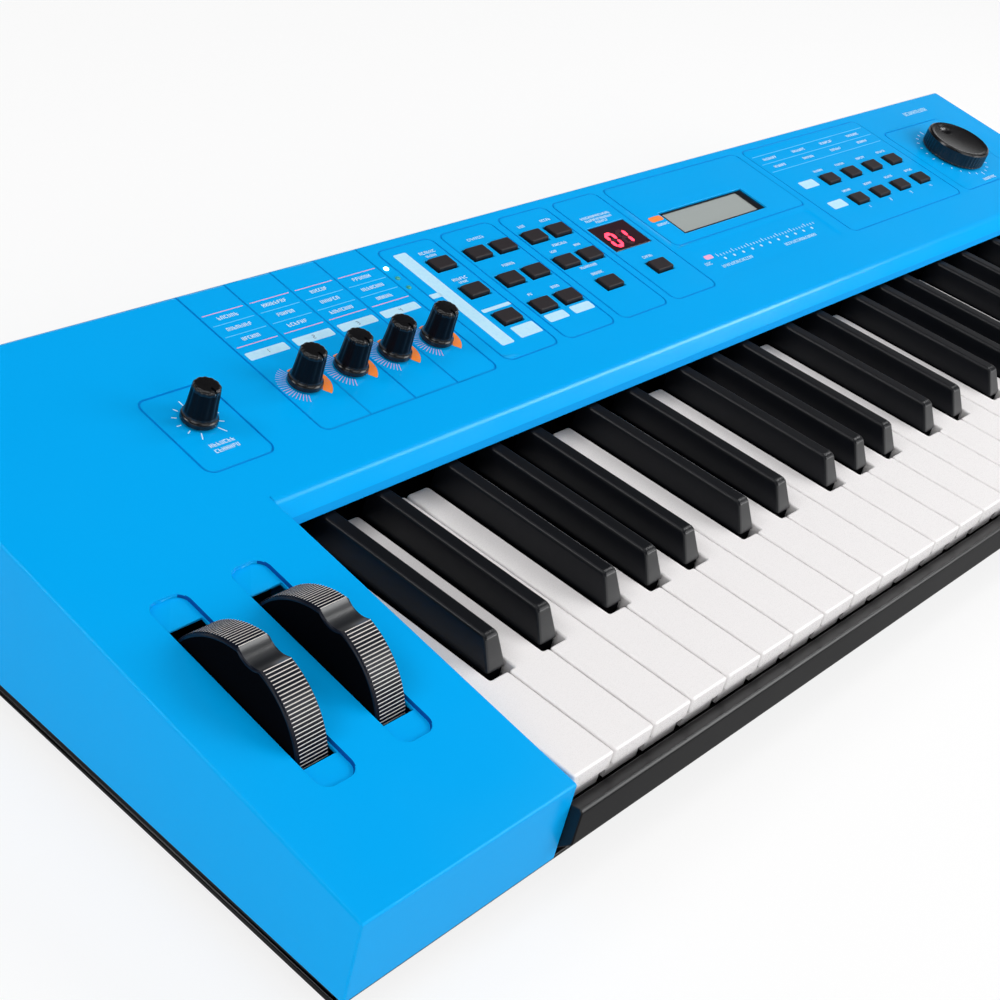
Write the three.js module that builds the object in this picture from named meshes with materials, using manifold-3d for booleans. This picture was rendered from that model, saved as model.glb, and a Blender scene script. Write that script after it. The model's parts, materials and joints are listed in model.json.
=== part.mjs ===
// A compact 49-key synthesizer: blue top case over a black tray, a full-size keyboard on its own
// frame, two thumb wheels in the left block and a sloping control panel behind the keys.
// Millimetres, +Z up, +X to the player's right, +Y to the rear. The origin is on the table, under
// the middle of the case.
import * as THREE from "three";
import { mergeVertices } from "three/addons/utils/BufferGeometryUtils.js";
import Module from "manifold-3d";

const wasm = await Module();
wasm.setup();

// ---- Driving dimensions ----
const CASE_WIDTH = 825;
const CASE_FRONT = -144; // front face of the end blocks
const RAIL_FRONT = -149; // the key rail stands a little further forward
const CASE_REAR = 149;
const WALL = 3;
const SPLIT_Z = 12; // lower edge of the top case
const TRAY_Z = 6; // underside of the tray, on its feet
const TRAY_THICK = 3;

const WHITE_PITCH = 23.5;
const WHITE_COUNT = 29;
const KEY_GAP = 1;
const LEFT_BLOCK = 104.5;
const KEY_TOP = 48;
const KEY_FRONT = -141;
const WHITE_LENGTH = 151.5;
const CUTOUT_START = 51.5; // from the key front to the notch beside a black key
const CUTOUT_WIDTH = 13.8;
const LIP_HEIGHT = 7.6;
const LIP_DEPTH = 2.5;
const WHITE_DEPTH = 16;
const BLACK_HEIGHT = 12.5;
const BLACK_FOOT_WIDTH = 10.2;
const BLACK_TOP_WIDTH = 7.4;
const BLACK_START = 54.5;
const BLACK_DEPTH = 10; // of a black key below the white key tops
const LEVER_END = 204; // levers run back under the panel to the pivot
const LEVER_TOP = -4;
const LEVER_BOTTOM = -14;
const BLACK_LEVER_TOP = -9.5;
const BLACK_LEVER_WIDTH = 8;
const LEVER_INSET = 0.6; // each side, so that neighbouring levers never rub
const PIVOT_Y = 200; // keyboard space, as are the two heights below
const FRAME_FLOOR = -36;
const FRAME_THICK = 2.6;
// Sideways offset of each black key from the gap to the right of white notes C D F G A.
const BLACK_OFFSET = { 0: -3.2, 1: 3.2, 3: -3.0, 4: 0.3, 5: 3.3 };
const NOTE_NAMES = ["c", "d", "e", "f", "g", "a", "b"];
const SINGLE_OCTAVES = 2; // keys of the two bass octaves are nodes of their own

const PANEL_SLOPE = 0.129; // rise over run of the panel and the end blocks, one plane
const PANEL_REAR = 134.5; // Y of the panel's rear edge
const REAR_SHOULDER = { in: 3.5, z: 70 }; // the rear face rolls over into the panel through here
const REAR_FACE_TOP = 60;
const FALL_THICK = 3;
const FALL_TOP = 15; // Y where the panel turns down over the keys
const FALL_LIP = 3.5; // Y of the lower edge of that face
const FALL_LIP_Z = 61.8;

const WHEEL_X = [-71.2, -34.6]; // measured from the left edge of the keys, as are all panel places
const WHEEL_Y = 88.6; // axle, measured from the front of the keys
const WHEEL_AXLE_Z = 43;
const WHEEL_RADIUS = 35;
const WHEEL_WIDTH = 14.2;
const WHEEL_HALF_ANGLE = 110; // degrees of rim each side of the thumb notch
const WHEEL_SLOT = { width: 15, from: 52.2, to: 122 };
const NOTCH_RADIUS = 10;
const NOTCH_DEPTH = 2.7;
const AXLE_RADIUS = 3;
const AXLE_BORE = 3.5;
const CHEEK_GAP = 2.35; // from a wheel's side to its bracket cheek
const CHEEK_THICK = 2.6;

const KNOB_PLACES = [
  ["volume_knob", 2.5, 206],
  ["knob_a", 59.3, 206.6],
  ["knob_b", 85.8, 206.6],
  ["knob_c", 112.3, 206.6],
  ["knob_d", 139, 206.6],
];
const KNOB_HEIGHT = 18.5;
const SHAFT_RADIUS = 3;
const SHAFT_HOLE = 3.6;

const BUTTON = { width: 14, depth: 9.2, proud: 1.7, clearance: 0.35 };
const BUTTON_ROWS = [
  { y: 250, x: [187, 213, 231.8, 255.8, 274.6] },
  { y: 227.5, x: [187, 213, 231.8, 255.8, 274.6] },
  { y: 205.5, x: [187, 213, 231.8, 265, 307] },
];
const STRIP = { x: [507.5, 532.5, 557.5, 582.5], y: [205.5, 227.5] };
const DIAL = { x: 645, y: 217, radius: 21, height: 11 };
const LED_WINDOW = { x0: 292, x1: 323, y0: 223.5, y1: 245 };
const LCD_WINDOW = { x0: 350, x1: 430, y0: 221.5, y1: 241.5 };
const BOARD_BELOW = 13; // panel board, under the panel surface
const BOARD_THICK = 1.6;

// ---- Derived values ----
const HALF_WIDTH = CASE_WIDTH / 2;
const KEYS_LEFT = LEFT_BLOCK - HALF_WIDTH;
const KEYS_RIGHT = KEYS_LEFT + WHITE_COUNT * WHITE_PITCH;
const WELL_MARGIN = 1.5; // from the outer keys to the end blocks
const WELL_LEFT = KEYS_LEFT - WELL_MARGIN;
const WELL_RIGHT = KEYS_RIGHT + WELL_MARGIN;
const SLOPE_ANGLE = Math.atan(PANEL_SLOPE);
const ALONG = 1 / Math.cos(SLOPE_ANGLE);
const panelZ = (y) => KEY_TOP + PANEL_SLOPE * (y - CASE_FRONT);

// ---- Materials ----
const finish = (color, roughness, metalness = 0) =>
  new THREE.MeshStandardMaterial({ color, roughness, metalness });
const BLUE = finish(0x0a9ff0, 0.45);
const TRAY_BLACK = finish(0x2c2d30, 0.6);
const KEY_WHITE = finish(0xf2f0ee, 0.3);
const KEY_BLACK = finish(0x16181c, 0.4);
const KNOB_BLACK = finish(0x101216, 0.5);
const BUTTON_BLACK = finish(0x24262c, 0.55);
const BOARD_GREEN = finish(0x1d5a3a, 0.5);
const STEEL = finish(0x9a9da0, 0.4, 0.9);
const FRAME_GREY = finish(0x55585c, 0.6);
const LENS_DARK = finish(0x2a1216, 0.15);
const LCD_GREY = finish(0x9aa3a5, 0.25);

// ---- Solids ----
function solid(geometry) {
  const bare = geometry.index ? geometry.toNonIndexed() : geometry.clone();
  bare.deleteAttribute("normal");
  bare.deleteAttribute("uv");
  const merged = mergeVertices(bare, 1e-4);
  return new wasm.Manifold(
    new wasm.Mesh({
      numProp: 3,
      vertProperties: new Float32Array(merged.attributes.position.array),
      triVerts: new Uint32Array(merged.index.array),
    }),
  );
}

function geometryOf(shape) {
  const mesh = shape.getMesh();
  const geometry = new THREE.BufferGeometry();
  geometry.setAttribute("position", new THREE.BufferAttribute(mesh.vertProperties, 3));
  geometry.setIndex(new THREE.BufferAttribute(mesh.triVerts, 1));
  geometry.computeVertexNormals();
  return geometry;
}

const join = (...shapes) => shapes.reduce((all, next) => all.add(next));
const cut = (from, ...shapes) => shapes.reduce((left, next) => left.subtract(next), from);

// A block between two corners.
function block([x0, x1], [y0, y1], [z0, z1]) {
  const geometry = new THREE.BoxGeometry(x1 - x0, y1 - y0, z1 - z0);
  geometry.translate((x0 + x1) / 2, (y0 + y1) / 2, (z0 + z1) / 2);
  return solid(geometry);
}

// A side-view outline of [y, z] points carried along X.
function alongX(points, x0, x1) {
  const outline = new THREE.Shape(points.map(([y, z]) => new THREE.Vector2(y, z)));
  const geometry = new THREE.ExtrudeGeometry(outline, { depth: x1 - x0, bevelEnabled: false });
  geometry.applyMatrix4(
    new THREE.Matrix4().makeBasis(
      new THREE.Vector3(0, 1, 0),
      new THREE.Vector3(0, 0, 1),
      new THREE.Vector3(1, 0, 0),
    ),
  );
  geometry.translate(x0, 0, 0);
  return solid(geometry);
}

// A round bar along X, Y or Z.
function bar(axis, radius, [x, y, z], length, segments = 16) {
  const geometry = new THREE.CylinderGeometry(radius, radius, length, segments);
  if (axis === "x") geometry.rotateZ(Math.PI / 2);
  if (axis === "z") geometry.rotateX(Math.PI / 2);
  geometry.translate(x, y, z);
  return solid(geometry);
}

// A turned shape about Z from [radius, height] points.
function turned(points, segments) {
  const profile = points.map(([r, h]) => new THREE.Vector2(r, h));
  const geometry = new THREE.LatheGeometry(profile, segments);
  geometry.rotateX(Math.PI / 2);
  return solid(geometry);
}

// ---- Assembly groups ----
const synthesizer = new THREE.Group();

// Keyboard space: X from the left edge of the first key, Y from the key fronts, Z from the key tops.
const keyboard = new THREE.Group();
keyboard.position.set(KEYS_LEFT, KEY_FRONT, KEY_TOP);
synthesizer.add(keyboard);

// Panel space: X as in keyboard space, Y up the slope from the front of the end blocks, Z off the panel.
const panel = new THREE.Group();
panel.position.set(KEYS_LEFT, CASE_FRONT, KEY_TOP);
panel.rotation.x = SLOPE_ANGLE;
synthesizer.add(panel);
const upSlope = (y) => (y + KEY_FRONT - CASE_FRONT) * ALONG;

function place(group, name, shape, material, [x, y, z] = [0, 0, 0]) {
  const mesh = new THREE.Mesh(geometryOf(shape), material);
  mesh.name = name;
  mesh.position.set(x, y, z);
  group.add(mesh);
}

// The same cutter seen from the model's own frame, for openings in the top case.
function fromPanel(shape) {
  panel.updateMatrixWorld(true);
  const geometry = geometryOf(shape);
  geometry.applyMatrix4(panel.matrixWorld);
  return solid(geometry);
}

// ---- Keys ----
const hasBlackAfter = (index) => index < WHITE_COUNT - 1 && index % 7 in BLACK_OFFSET;
const blackCentre = (index) => (index + 1) * WHITE_PITCH + BLACK_OFFSET[index % 7];

// Left and right edge of the narrow rear part of a white key.
function tailEdges(index) {
  const half = CUTOUT_WIDTH / 2;
  const left = index > 0 && hasBlackAfter(index - 1)
    ? blackCentre(index - 1) + half
    : index * WHITE_PITCH + KEY_GAP / 2;
  const right = hasBlackAfter(index)
    ? blackCentre(index) - half
    : (index + 1) * WHITE_PITCH - KEY_GAP / 2;
  return [left, right];
}

function whiteKey(index) {
  const skin = 2;
  const crown = 3;
  const left = index * WHITE_PITCH + KEY_GAP / 2;
  const right = left + WHITE_PITCH - KEY_GAP;
  const [tailLeft, tailRight] = tailEdges(index);
  const head = block([left, right], [0, CUTOUT_START], [-WHITE_DEPTH, 0]);
  const tail = block([tailLeft, tailRight], [CUTOUT_START - 2, WHITE_LENGTH], [-WHITE_DEPTH, 0]);
  const rootY = WHITE_LENGTH - crown; // the lever grows out of the solid end of the tail
  const lever = block(
    [tailLeft + LEVER_INSET, tailRight - LEVER_INSET],
    [rootY, LEVER_END],
    [LEVER_BOTTOM, LEVER_TOP],
  );
  const below = [-WHITE_DEPTH - 1, -crown];
  const headHollow = block([left + skin, right - skin], [LIP_DEPTH + skin, CUTOUT_START - skin], below);
  const tailHollow = block(
    [tailLeft + skin, tailRight - skin],
    [CUTOUT_START - skin - 1, rootY - skin],
    below,
  );
  const underLip = block(
    [left - 1, right + 1],
    [-1, LIP_DEPTH],
    [-WHITE_DEPTH - 1, -LIP_HEIGHT],
  );
  return join(cut(join(head, tail), headHollow, tailHollow, underLip), lever);
}

// The front face of a black key leans back and rounds over into its top.
function blackKey(index, leverEnd = LEVER_END) {
  const centre = blackCentre(index);
  const lean = 4.9;
  const half = BLACK_FOOT_WIDTH / 2;
  const shrink = 1 - BLACK_TOP_WIDTH / BLACK_FOOT_WIDTH;
  const side = new THREE.Shape();
  side.moveTo(BLACK_START, -BLACK_DEPTH);
  side.lineTo(BLACK_START, 0);
  side.lineTo(BLACK_START + lean, BLACK_HEIGHT - 1.8);
  side.quadraticCurveTo(BLACK_START + lean + 0.6, BLACK_HEIGHT, BLACK_START + lean + 2.7, BLACK_HEIGHT);
  side.lineTo(WHITE_LENGTH, BLACK_HEIGHT);
  side.lineTo(WHITE_LENGTH, -BLACK_DEPTH);
  const points = side.getPoints(4).map((p) => [p.x, p.y]);
  const body = geometryOf(alongX(points, -half, half));
  const position = body.attributes.position;
  for (let i = 0; i < position.count; i++) {
    const rise = Math.max(0, position.getZ(i)) / BLACK_HEIGHT;
    position.setX(i, centre + position.getX(i) * (1 - shrink * rise));
  }
  const lever = block(
    [centre - BLACK_LEVER_WIDTH / 2, centre + BLACK_LEVER_WIDTH / 2],
    [WHITE_LENGTH - 3, leverEnd],
    [LEVER_BOTTOM, BLACK_LEVER_TOP],
  );
  return join(solid(body), lever);
}

// The whole-octave mouldings of the treble end share a web behind the levers.
function treble(indices, shapeOf, web) {
  return join(...indices.map(shapeOf), web);
}

function buildKeys() {
  const singles = SINGLE_OCTAVES * 7;
  const noteName = (index) => `key_${NOTE_NAMES[index % 7]}${Math.floor(index / 7) + 1}`;
  for (let i = 0; i < singles; i++) {
    place(keyboard, noteName(i), whiteKey(i), KEY_WHITE);
    if (hasBlackAfter(i)) place(keyboard, `${noteName(i)}_sharp`, blackKey(i), KEY_BLACK);
  }
  const rest = Array.from({ length: WHITE_COUNT - singles }, (_, i) => singles + i);
  const sharps = rest.filter(hasBlackAfter);
  // The white web passes over the black levers, and the black web lies behind the white levers.
  const whiteWeb = block(
    [tailEdges(singles)[0] + 1, tailEdges(WHITE_COUNT - 1)[1] - 1],
    [PIVOT_Y - 1, LEVER_END + 2],
    [-8, -5],
  );
  const blackWebEnd = LEVER_END + 8;
  const blackWeb = block(
    [blackCentre(sharps[0]) - 4, blackCentre(sharps.at(-1)) + 4],
    [LEVER_END + 3.5, blackWebEnd],
    [LEVER_BOTTOM, BLACK_LEVER_TOP],
  );
  const longLever = (index) => blackKey(index, blackWebEnd - 1);
  place(keyboard, "treble_white_keys", treble(rest, whiteKey, whiteWeb), KEY_WHITE);
  place(keyboard, "treble_black_keys", treble(sharps, longLever, blackWeb), KEY_BLACK);
}

// ---- Keyboard frame and contacts ----
// A floor plate with stiffening ribs, a blade under the pivots and a guide post inside each white key.
function buildKeyFrame() {
  const span = [1, WHITE_COUNT * WHITE_PITCH - 1];
  const [front, rear] = [14, 216];
  const rib = 3;
  const plate = block(span, [front, rear], [FRAME_FLOOR, FRAME_FLOOR + FRAME_THICK]);
  const pivotBlade = block(
    span,
    [PIVOT_Y - rib / 2, PIVOT_Y + rib / 2],
    [FRAME_FLOOR, LEVER_BOTTOM - 0.4],
  );
  const rearRib = block(span, [rear - rib, rear], [FRAME_FLOOR, LEVER_BOTTOM - 4]);
  const frontRib = block(span, [front, front + rib], [FRAME_FLOOR, -29]);
  const posts = [];
  for (let i = 0; i < WHITE_COUNT; i++) {
    const x = (i + 0.5) * WHITE_PITCH;
    posts.push(block([x - 4, x + 4], [21, 25], [FRAME_FLOOR, -13.8]));
  }
  place(keyboard, "key_frame", join(plate, pivotBlade, rearRib, frontRib, ...posts), FRAME_GREY);

  const boardZ = FRAME_FLOOR + 5;
  const board = block(span, [64, 112], [boardZ, boardZ + BOARD_THICK]);
  const rubberStrip = block([span[0] + 4, span[1] - 4], [84, 92], [boardZ + 1, boardZ + 5]);
  place(keyboard, "contact_board", join(board, rubberStrip), BOARD_GREEN);
}

// ---- Thumb wheels ----
// Side view of a wheel: most of a disc, flat underneath, with the thumb notch in its rim.
function wheelOutline() {
  const shape = new THREE.Shape();
  const reach = THREE.MathUtils.degToRad(WHEEL_HALF_ANGLE);
  const up = Math.PI / 2;
  const notchY = WHEEL_RADIUS - NOTCH_DEPTH + NOTCH_RADIUS;
  // Where the notch circle meets the rim.
  const meetY = (WHEEL_RADIUS ** 2 - NOTCH_RADIUS ** 2 + notchY ** 2) / (2 * notchY);
  const meetX = Math.sqrt(WHEEL_RADIUS ** 2 - meetY ** 2);
  const rimAngle = Math.atan2(meetX, meetY);
  const notchAngle = Math.atan2(meetY - notchY, meetX);
  shape.absarc(0, 0, WHEEL_RADIUS, up - reach, up - rimAngle, false);
  shape.absarc(0, notchY, NOTCH_RADIUS, notchAngle, Math.PI - notchAngle, true);
  shape.absarc(0, 0, WHEEL_RADIUS, up + rimAngle, up + reach, false);
  // The notch faces along the panel's normal at rest.
  const hub = new THREE.Vector2();
  return shape.getPoints(14).map((p) => p.rotateAround(hub, SLOPE_ANGLE).toArray());
}

function buildWheels() {
  const half = WHEEL_WIDTH / 2;
  const axle = WHEEL_AXLE_Z - KEY_TOP;
  const names = ["pitch_wheel", "modulation_wheel"];
  const outline = wheelOutline();
  WHEEL_X.forEach((x, i) => {
    const rim = alongX(outline, -half, half);
    const pins = bar("x", AXLE_RADIUS, [0, 0, 0], WHEEL_WIDTH + 2 * (CHEEK_GAP + 1.5));
    place(keyboard, names[i], join(rim, pins), KNOB_BLACK, [x, WHEEL_Y, axle]);
  });

  const floorZ = TRAY_Z + TRAY_THICK + 0.3 - KEY_TOP;
  const base = block(
    [WHEEL_X[0] - 13.5, WHEEL_X[1] + 13.5],
    [WHEEL_Y - 24, WHEEL_Y + 24],
    [floorZ, floorZ + 2.5],
  );
  const uprights = [];
  const bores = [];
  for (const x of WHEEL_X) {
    for (const side of [-1, 1]) {
      const inner = x + side * (half + CHEEK_GAP);
      const outer = inner + side * CHEEK_THICK;
      uprights.push(
        block(
          [Math.min(inner, outer), Math.max(inner, outer)],
          [WHEEL_Y - 8, WHEEL_Y + 8],
          [floorZ, axle + 8],
        ),
      );
    }
    bores.push(bar("x", AXLE_BORE, [x, WHEEL_Y, axle], 2 * WHEEL_WIDTH));
  }
  place(keyboard, "wheel_bracket", cut(join(base, ...uprights), ...bores), STEEL);
}

// ---- Knobs, buttons and dial ----
function knob() {
  const base = 0.7; // clear of the panel
  return turned(
    [
      [0, -9],
      [SHAFT_RADIUS, -9],
      [SHAFT_RADIUS, base],
      [7.7, base],
      [7.7, base + 1.4],
      [6.7, base + 2.6],
      [6.1, KNOB_HEIGHT - 1.6],
      [5.1, KNOB_HEIGHT - 0.4],
      [2.8, KNOB_HEIGHT],
      [0, KNOB_HEIGHT],
    ],
    24,
  );
}

// A cap that shows above the panel, a flange that keeps it in, and a stem to its switch.
function buttonCap(x, y) {
  const w = BUTTON.width / 2;
  const d = BUTTON.depth / 2;
  const cap = block([x - w, x + w], [y - d, y + d], [-5.2, BUTTON.proud]);
  const flange = block([x - w - 1, x + w + 1], [y - d - 1, y + d + 1], [-5.2, -4]);
  const stem = block([x - 2, x + 2], [y - 2, y + 2], [-9.4, -4.5]);
  return join(cap, flange, stem);
}

function buildControls() {
  for (const [name, x, y] of KNOB_PLACES) {
    place(panel, name, knob(), KNOB_BLACK, [x, upSlope(y), 0]);
  }
  BUTTON_ROWS.forEach(({ y, x: places }, row) => {
    places.forEach((x, column) => {
      const name = `button_${"abc"[row]}${column + 1}`;
      place(panel, name, buttonCap(0, 0), BUTTON_BLACK, [x, upSlope(y), 0]);
    });
  });
  const caps = STRIP.y.flatMap((y) => STRIP.x.map((x) => buttonCap(x, upSlope(y))));
  const carrier = block(
    [STRIP.x[0] - 8, STRIP.x.at(-1) + 8],
    [upSlope(STRIP.y[0]) - 5, upSlope(STRIP.y[1]) + 5],
    [-5.2, -4],
  );
  place(panel, "right_button_strip", join(carrier, ...caps), BUTTON_BLACK);

  const dial = turned(
    [
      [0, -9],
      [SHAFT_RADIUS, -9],
      [SHAFT_RADIUS, 0.7],
      [DIAL.radius, 0.7],
      [DIAL.radius, DIAL.height - 1.5],
      [DIAL.radius - 1.5, DIAL.height],
      [0, DIAL.height],
    ],
    40,
  );
  place(panel, "data_dial", dial, KNOB_BLACK, [DIAL.x, upSlope(DIAL.y), 0]);
}

// ---- Displays and boards ----
function buildDisplays() {
  const window = (w, margin) => [
    [w.x0 + margin, w.x1 - margin],
    [upSlope(w.y0) + margin, upSlope(w.y1) - margin],
  ];
  const [ledX, ledY] = window(LED_WINDOW, 0.4);
  const lens = block(ledX, ledY, [-6, -0.3]);
  const digits = block([ledX[0] + 2, ledX[1] - 2], [ledY[0] + 1, ledY[1] - 1], [-11, -5]);
  place(panel, "led_display", join(lens, digits), LENS_DARK);

  const [lcdX, lcdY] = window(LCD_WINDOW, 0.4);
  const glass = block(lcdX, lcdY, [-6, -1.6]);
  const holder = block([lcdX[0] - 4, lcdX[1] + 4], [lcdY[0] - 4, lcdY[1] + 4], [-10, -5]);
  place(panel, "lcd_module", join(glass, holder), LCD_GREY);
}

function buildBoards() {
  const top = -BOARD_BELOW;
  const board = block([-12, 680], [upSlope(186), upSlope(262)], [top - BOARD_THICK, top]);
  const pots = KNOB_PLACES.map(([, x, y]) =>
    block([x - 5.5, x + 5.5], [upSlope(y) - 5.5, upSlope(y) + 5.5], [top - 0.5, -9.5]),
  );
  const encoder = block(
    [DIAL.x - 6, DIAL.x + 6],
    [upSlope(DIAL.y) - 6, upSlope(DIAL.y) + 6],
    [top - 0.5, -9.5],
  );
  place(panel, "panel_board", join(board, encoder, ...pots), BOARD_GREEN);

  const mainX = [-240, 20];
  const mainboard = block(mainX, [86, 136], [15, 15 + BOARD_THICK]);
  const chips = [-200, -150, -95, -30].map((x) => block([x - 9, x + 9], [100, 118], [16, 19]));
  const pillars = [mainX[0] + 6, mainX[1] - 6].flatMap((x) =>
    [91, 131].map((y) => bar("z", 3, [x, y, 12.2], 6, 12)),
  );
  place(synthesizer, "main_board", join(mainboard, ...chips, ...pillars), BOARD_GREEN);
}

// Rear sockets, seen from the rear as [name of kind, x].
const SOCKETS = [
  ["din", -330],
  ["din", -296],
  ["usb", -262],
  ["jack", -232],
  ["jack", -206],
  ["jack", -166],
  ["jack", -140],
  ["power", -100],
];
const SOCKET_Z = 46;
const SOCKET_SIZE = {
  din: { round: true, radius: 8.5 },
  usb: { round: false, width: 12.4, height: 11 },
  jack: { round: true, radius: 5.8 },
  power: { round: true, radius: 4.6 },
};

function socket([kind, x], grow, y0, y1) {
  const size = SOCKET_SIZE[kind];
  if (size.round) {
    return bar("y", size.radius + grow, [x, (y0 + y1) / 2, SOCKET_Z], y1 - y0, 20);
  }
  const w = size.width / 2 + grow;
  const h = size.height / 2 + grow;
  return block([x - w, x + w], [y0, y1], [SOCKET_Z - h, SOCKET_Z + h]);
}

function buildJackBoard() {
  const board = block([-345, -88], [118, 138], [34, 34 + BOARD_THICK]);
  const bodies = SOCKETS.map(([, x]) => block([x - 8, x + 8], [122, 144], [35, 53]));
  const barrels = SOCKETS.map((s) => socket(s, 0, 140, CASE_REAR - 0.4));
  place(synthesizer, "jack_board", join(board, ...bodies, ...barrels), BOARD_GREEN);
}

// ---- Case ----
// The ends of each wheel slot are relieved underneath, where the rim passes through the panel.
function wheelReliefs() {
  const hub = [WHEEL_Y + KEY_FRONT, WHEEL_AXLE_Z];
  return WHEEL_X.map((x) =>
    bar("x", WHEEL_RADIUS + 0.8, [x + KEYS_LEFT, ...hub], WHEEL_SLOT.width, 72),
  );
}

// Side view of the top case. inset moves every face inwards.
function caseProfile(inset) {
  const drop = inset * ALONG;
  const front = CASE_FRONT + inset;
  const rear = CASE_REAR - inset;
  const bottom = inset ? SPLIT_Z - 1 : SPLIT_Z;
  return [
    [front, bottom],
    [rear, bottom],
    [rear, REAR_FACE_TOP],
    [rear - REAR_SHOULDER.in, REAR_SHOULDER.z],
    [PANEL_REAR, panelZ(PANEL_REAR) - drop],
    [front, panelZ(front) - drop],
  ];
}

// Everything in front of the fallboard, over the keys, is open.
function keyWell() {
  const outline = [
    [-170, -10],
    [FALL_LIP + FALL_THICK, -10],
    [FALL_LIP + FALL_THICK, FALL_LIP_Z],
    [FALL_LIP, FALL_LIP_Z],
    [FALL_TOP, panelZ(FALL_TOP)],
    [FALL_TOP, 120],
    [-170, 120],
  ];
  return alongX(outline, WELL_LEFT, WELL_RIGHT);
}

function caseHollows() {
  const side = alongX(caseProfile(WALL), -HALF_WIDTH + WALL, HALF_WIDTH - WALL);
  const wellWall = 2.5;
  const bend = FALL_TOP + 4; // where the inside of the fallboard meets the inside of the panel
  const leftBlock = block([-HALF_WIDTH, WELL_LEFT - wellWall], [-170, bend], [-10, 120]);
  const rightBlock = block([WELL_RIGHT + wellWall, HALF_WIDTH], [-170, bend], [-10, 120]);
  const behindFall = alongX(
    [
      [FALL_LIP + FALL_THICK, -10],
      [170, -10],
      [170, 120],
      [bend, 120],
      [bend, panelZ(bend) - WALL * ALONG],
      [FALL_LIP + FALL_THICK, FALL_LIP_Z],
    ],
    -HALF_WIDTH,
    HALF_WIDTH,
  );
  return side.intersect(join(leftBlock, rightBlock, behindFall));
}

function panelOpenings() {
  const through = [-WALL * 2, 5];
  const opening = (x, y, w, d) =>
    block([x - w / 2, x + w / 2], [upSlope(y) - d / 2, upSlope(y) + d / 2], through);
  const capW = BUTTON.width + 2 * BUTTON.clearance;
  const capD = BUTTON.depth + 2 * BUTTON.clearance;
  const cutters = [];
  for (const { y, x: places } of BUTTON_ROWS) {
    for (const x of places) cutters.push(opening(x, y, capW, capD));
  }
  for (const y of STRIP.y) {
    for (const x of STRIP.x) cutters.push(opening(x, y, capW, capD));
  }
  for (const w of [LED_WINDOW, LCD_WINDOW]) {
    cutters.push(block([w.x0, w.x1], [upSlope(w.y0), upSlope(w.y1)], through));
  }
  for (const x of WHEEL_X) {
    const { width, from, to } = WHEEL_SLOT;
    cutters.push(
      block([x - width / 2, x + width / 2], [upSlope(from), upSlope(to)], through),
    );
  }
  for (const [, x, y] of [...KNOB_PLACES, ["data_dial", DIAL.x, DIAL.y]]) {
    cutters.push(bar("z", SHAFT_HOLE, [x, upSlope(y), 0], WALL * 4));
  }
  return cutters.map(fromPanel);
}

function buildTopCase() {
  const outer = alongX(caseProfile(0), -HALF_WIDTH, HALF_WIDTH);
  const socketHoles = SOCKETS.map((s) => socket(s, 0.4, 140, CASE_REAR + 5));
  const shell = cut(
    outer,
    keyWell(),
    caseHollows(),
    ...panelOpenings(),
    ...wheelReliefs(),
    ...socketHoles,
  );
  place(synthesizer, "top_case", shell, BLUE);
}

function buildBottomCase() {
  const edge = 1;
  const wide = HALF_WIDTH - edge;
  const lift = TRAY_Z + TRAY_THICK;
  const plate = alongX(
    [
      [CASE_FRONT + 6, TRAY_Z],
      [CASE_REAR - 4, TRAY_Z],
      [CASE_REAR - edge, TRAY_Z + 3],
      [CASE_REAR - edge, SPLIT_Z - 0.4],
      [CASE_REAR - edge - WALL, SPLIT_Z - 0.4],
      [CASE_REAR - edge - WALL, lift],
      [CASE_FRONT + edge + WALL, lift],
      [CASE_FRONT + edge + WALL, SPLIT_Z - 0.4],
      [CASE_FRONT + edge, SPLIT_Z - 0.4],
      [CASE_FRONT + edge, TRAY_Z + 4],
    ],
    -wide,
    wide,
  );
  // The rail under the key fronts, standing between the end blocks.
  const rail = alongX(
    [
      [RAIL_FRONT, 22.5],
      [CASE_FRONT + 11, TRAY_Z],
      [CASE_FRONT + 16, TRAY_Z],
      [CASE_FRONT + 16, lift],
      [KEY_FRONT - 1.2, 24],
      [KEY_FRONT - 1.2, 37.4],
      [RAIL_FRONT + 1.2, 38.8],
      [RAIL_FRONT, 37.8],
    ],
    WELL_LEFT + 0.3,
    WELL_RIGHT - 0.3,
  );
  const sides = [-1, 1].map((s) => {
    const outer = s * (wide - 0.2);
    const inner = s * (wide - 3);
    return block(
      [Math.min(outer, inner), Math.max(outer, inner)],
      [CASE_FRONT + 5, CASE_REAR - 5],
      [TRAY_Z + 1, SPLIT_Z - 0.4],
    );
  });
  const feet = [-1, 1].flatMap((s) =>
    [-112, 122].map((y) => bar("z", 9, [s * 370, y, TRAY_Z / 2 + 0.25], TRAY_Z + 0.5, 24)),
  );
  place(synthesizer, "bottom_case", join(plate, rail, ...sides, ...feet), TRAY_BLACK);
}

buildKeys();
buildKeyFrame();
buildWheels();
buildControls();
buildDisplays();
buildBoards();
buildJackBoard();
buildTopCase();
buildBottomCase();

export default synthesizer;
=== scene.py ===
import json
import math
import random

import bmesh
import bpy
from mathutils import Matrix, Vector


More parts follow.
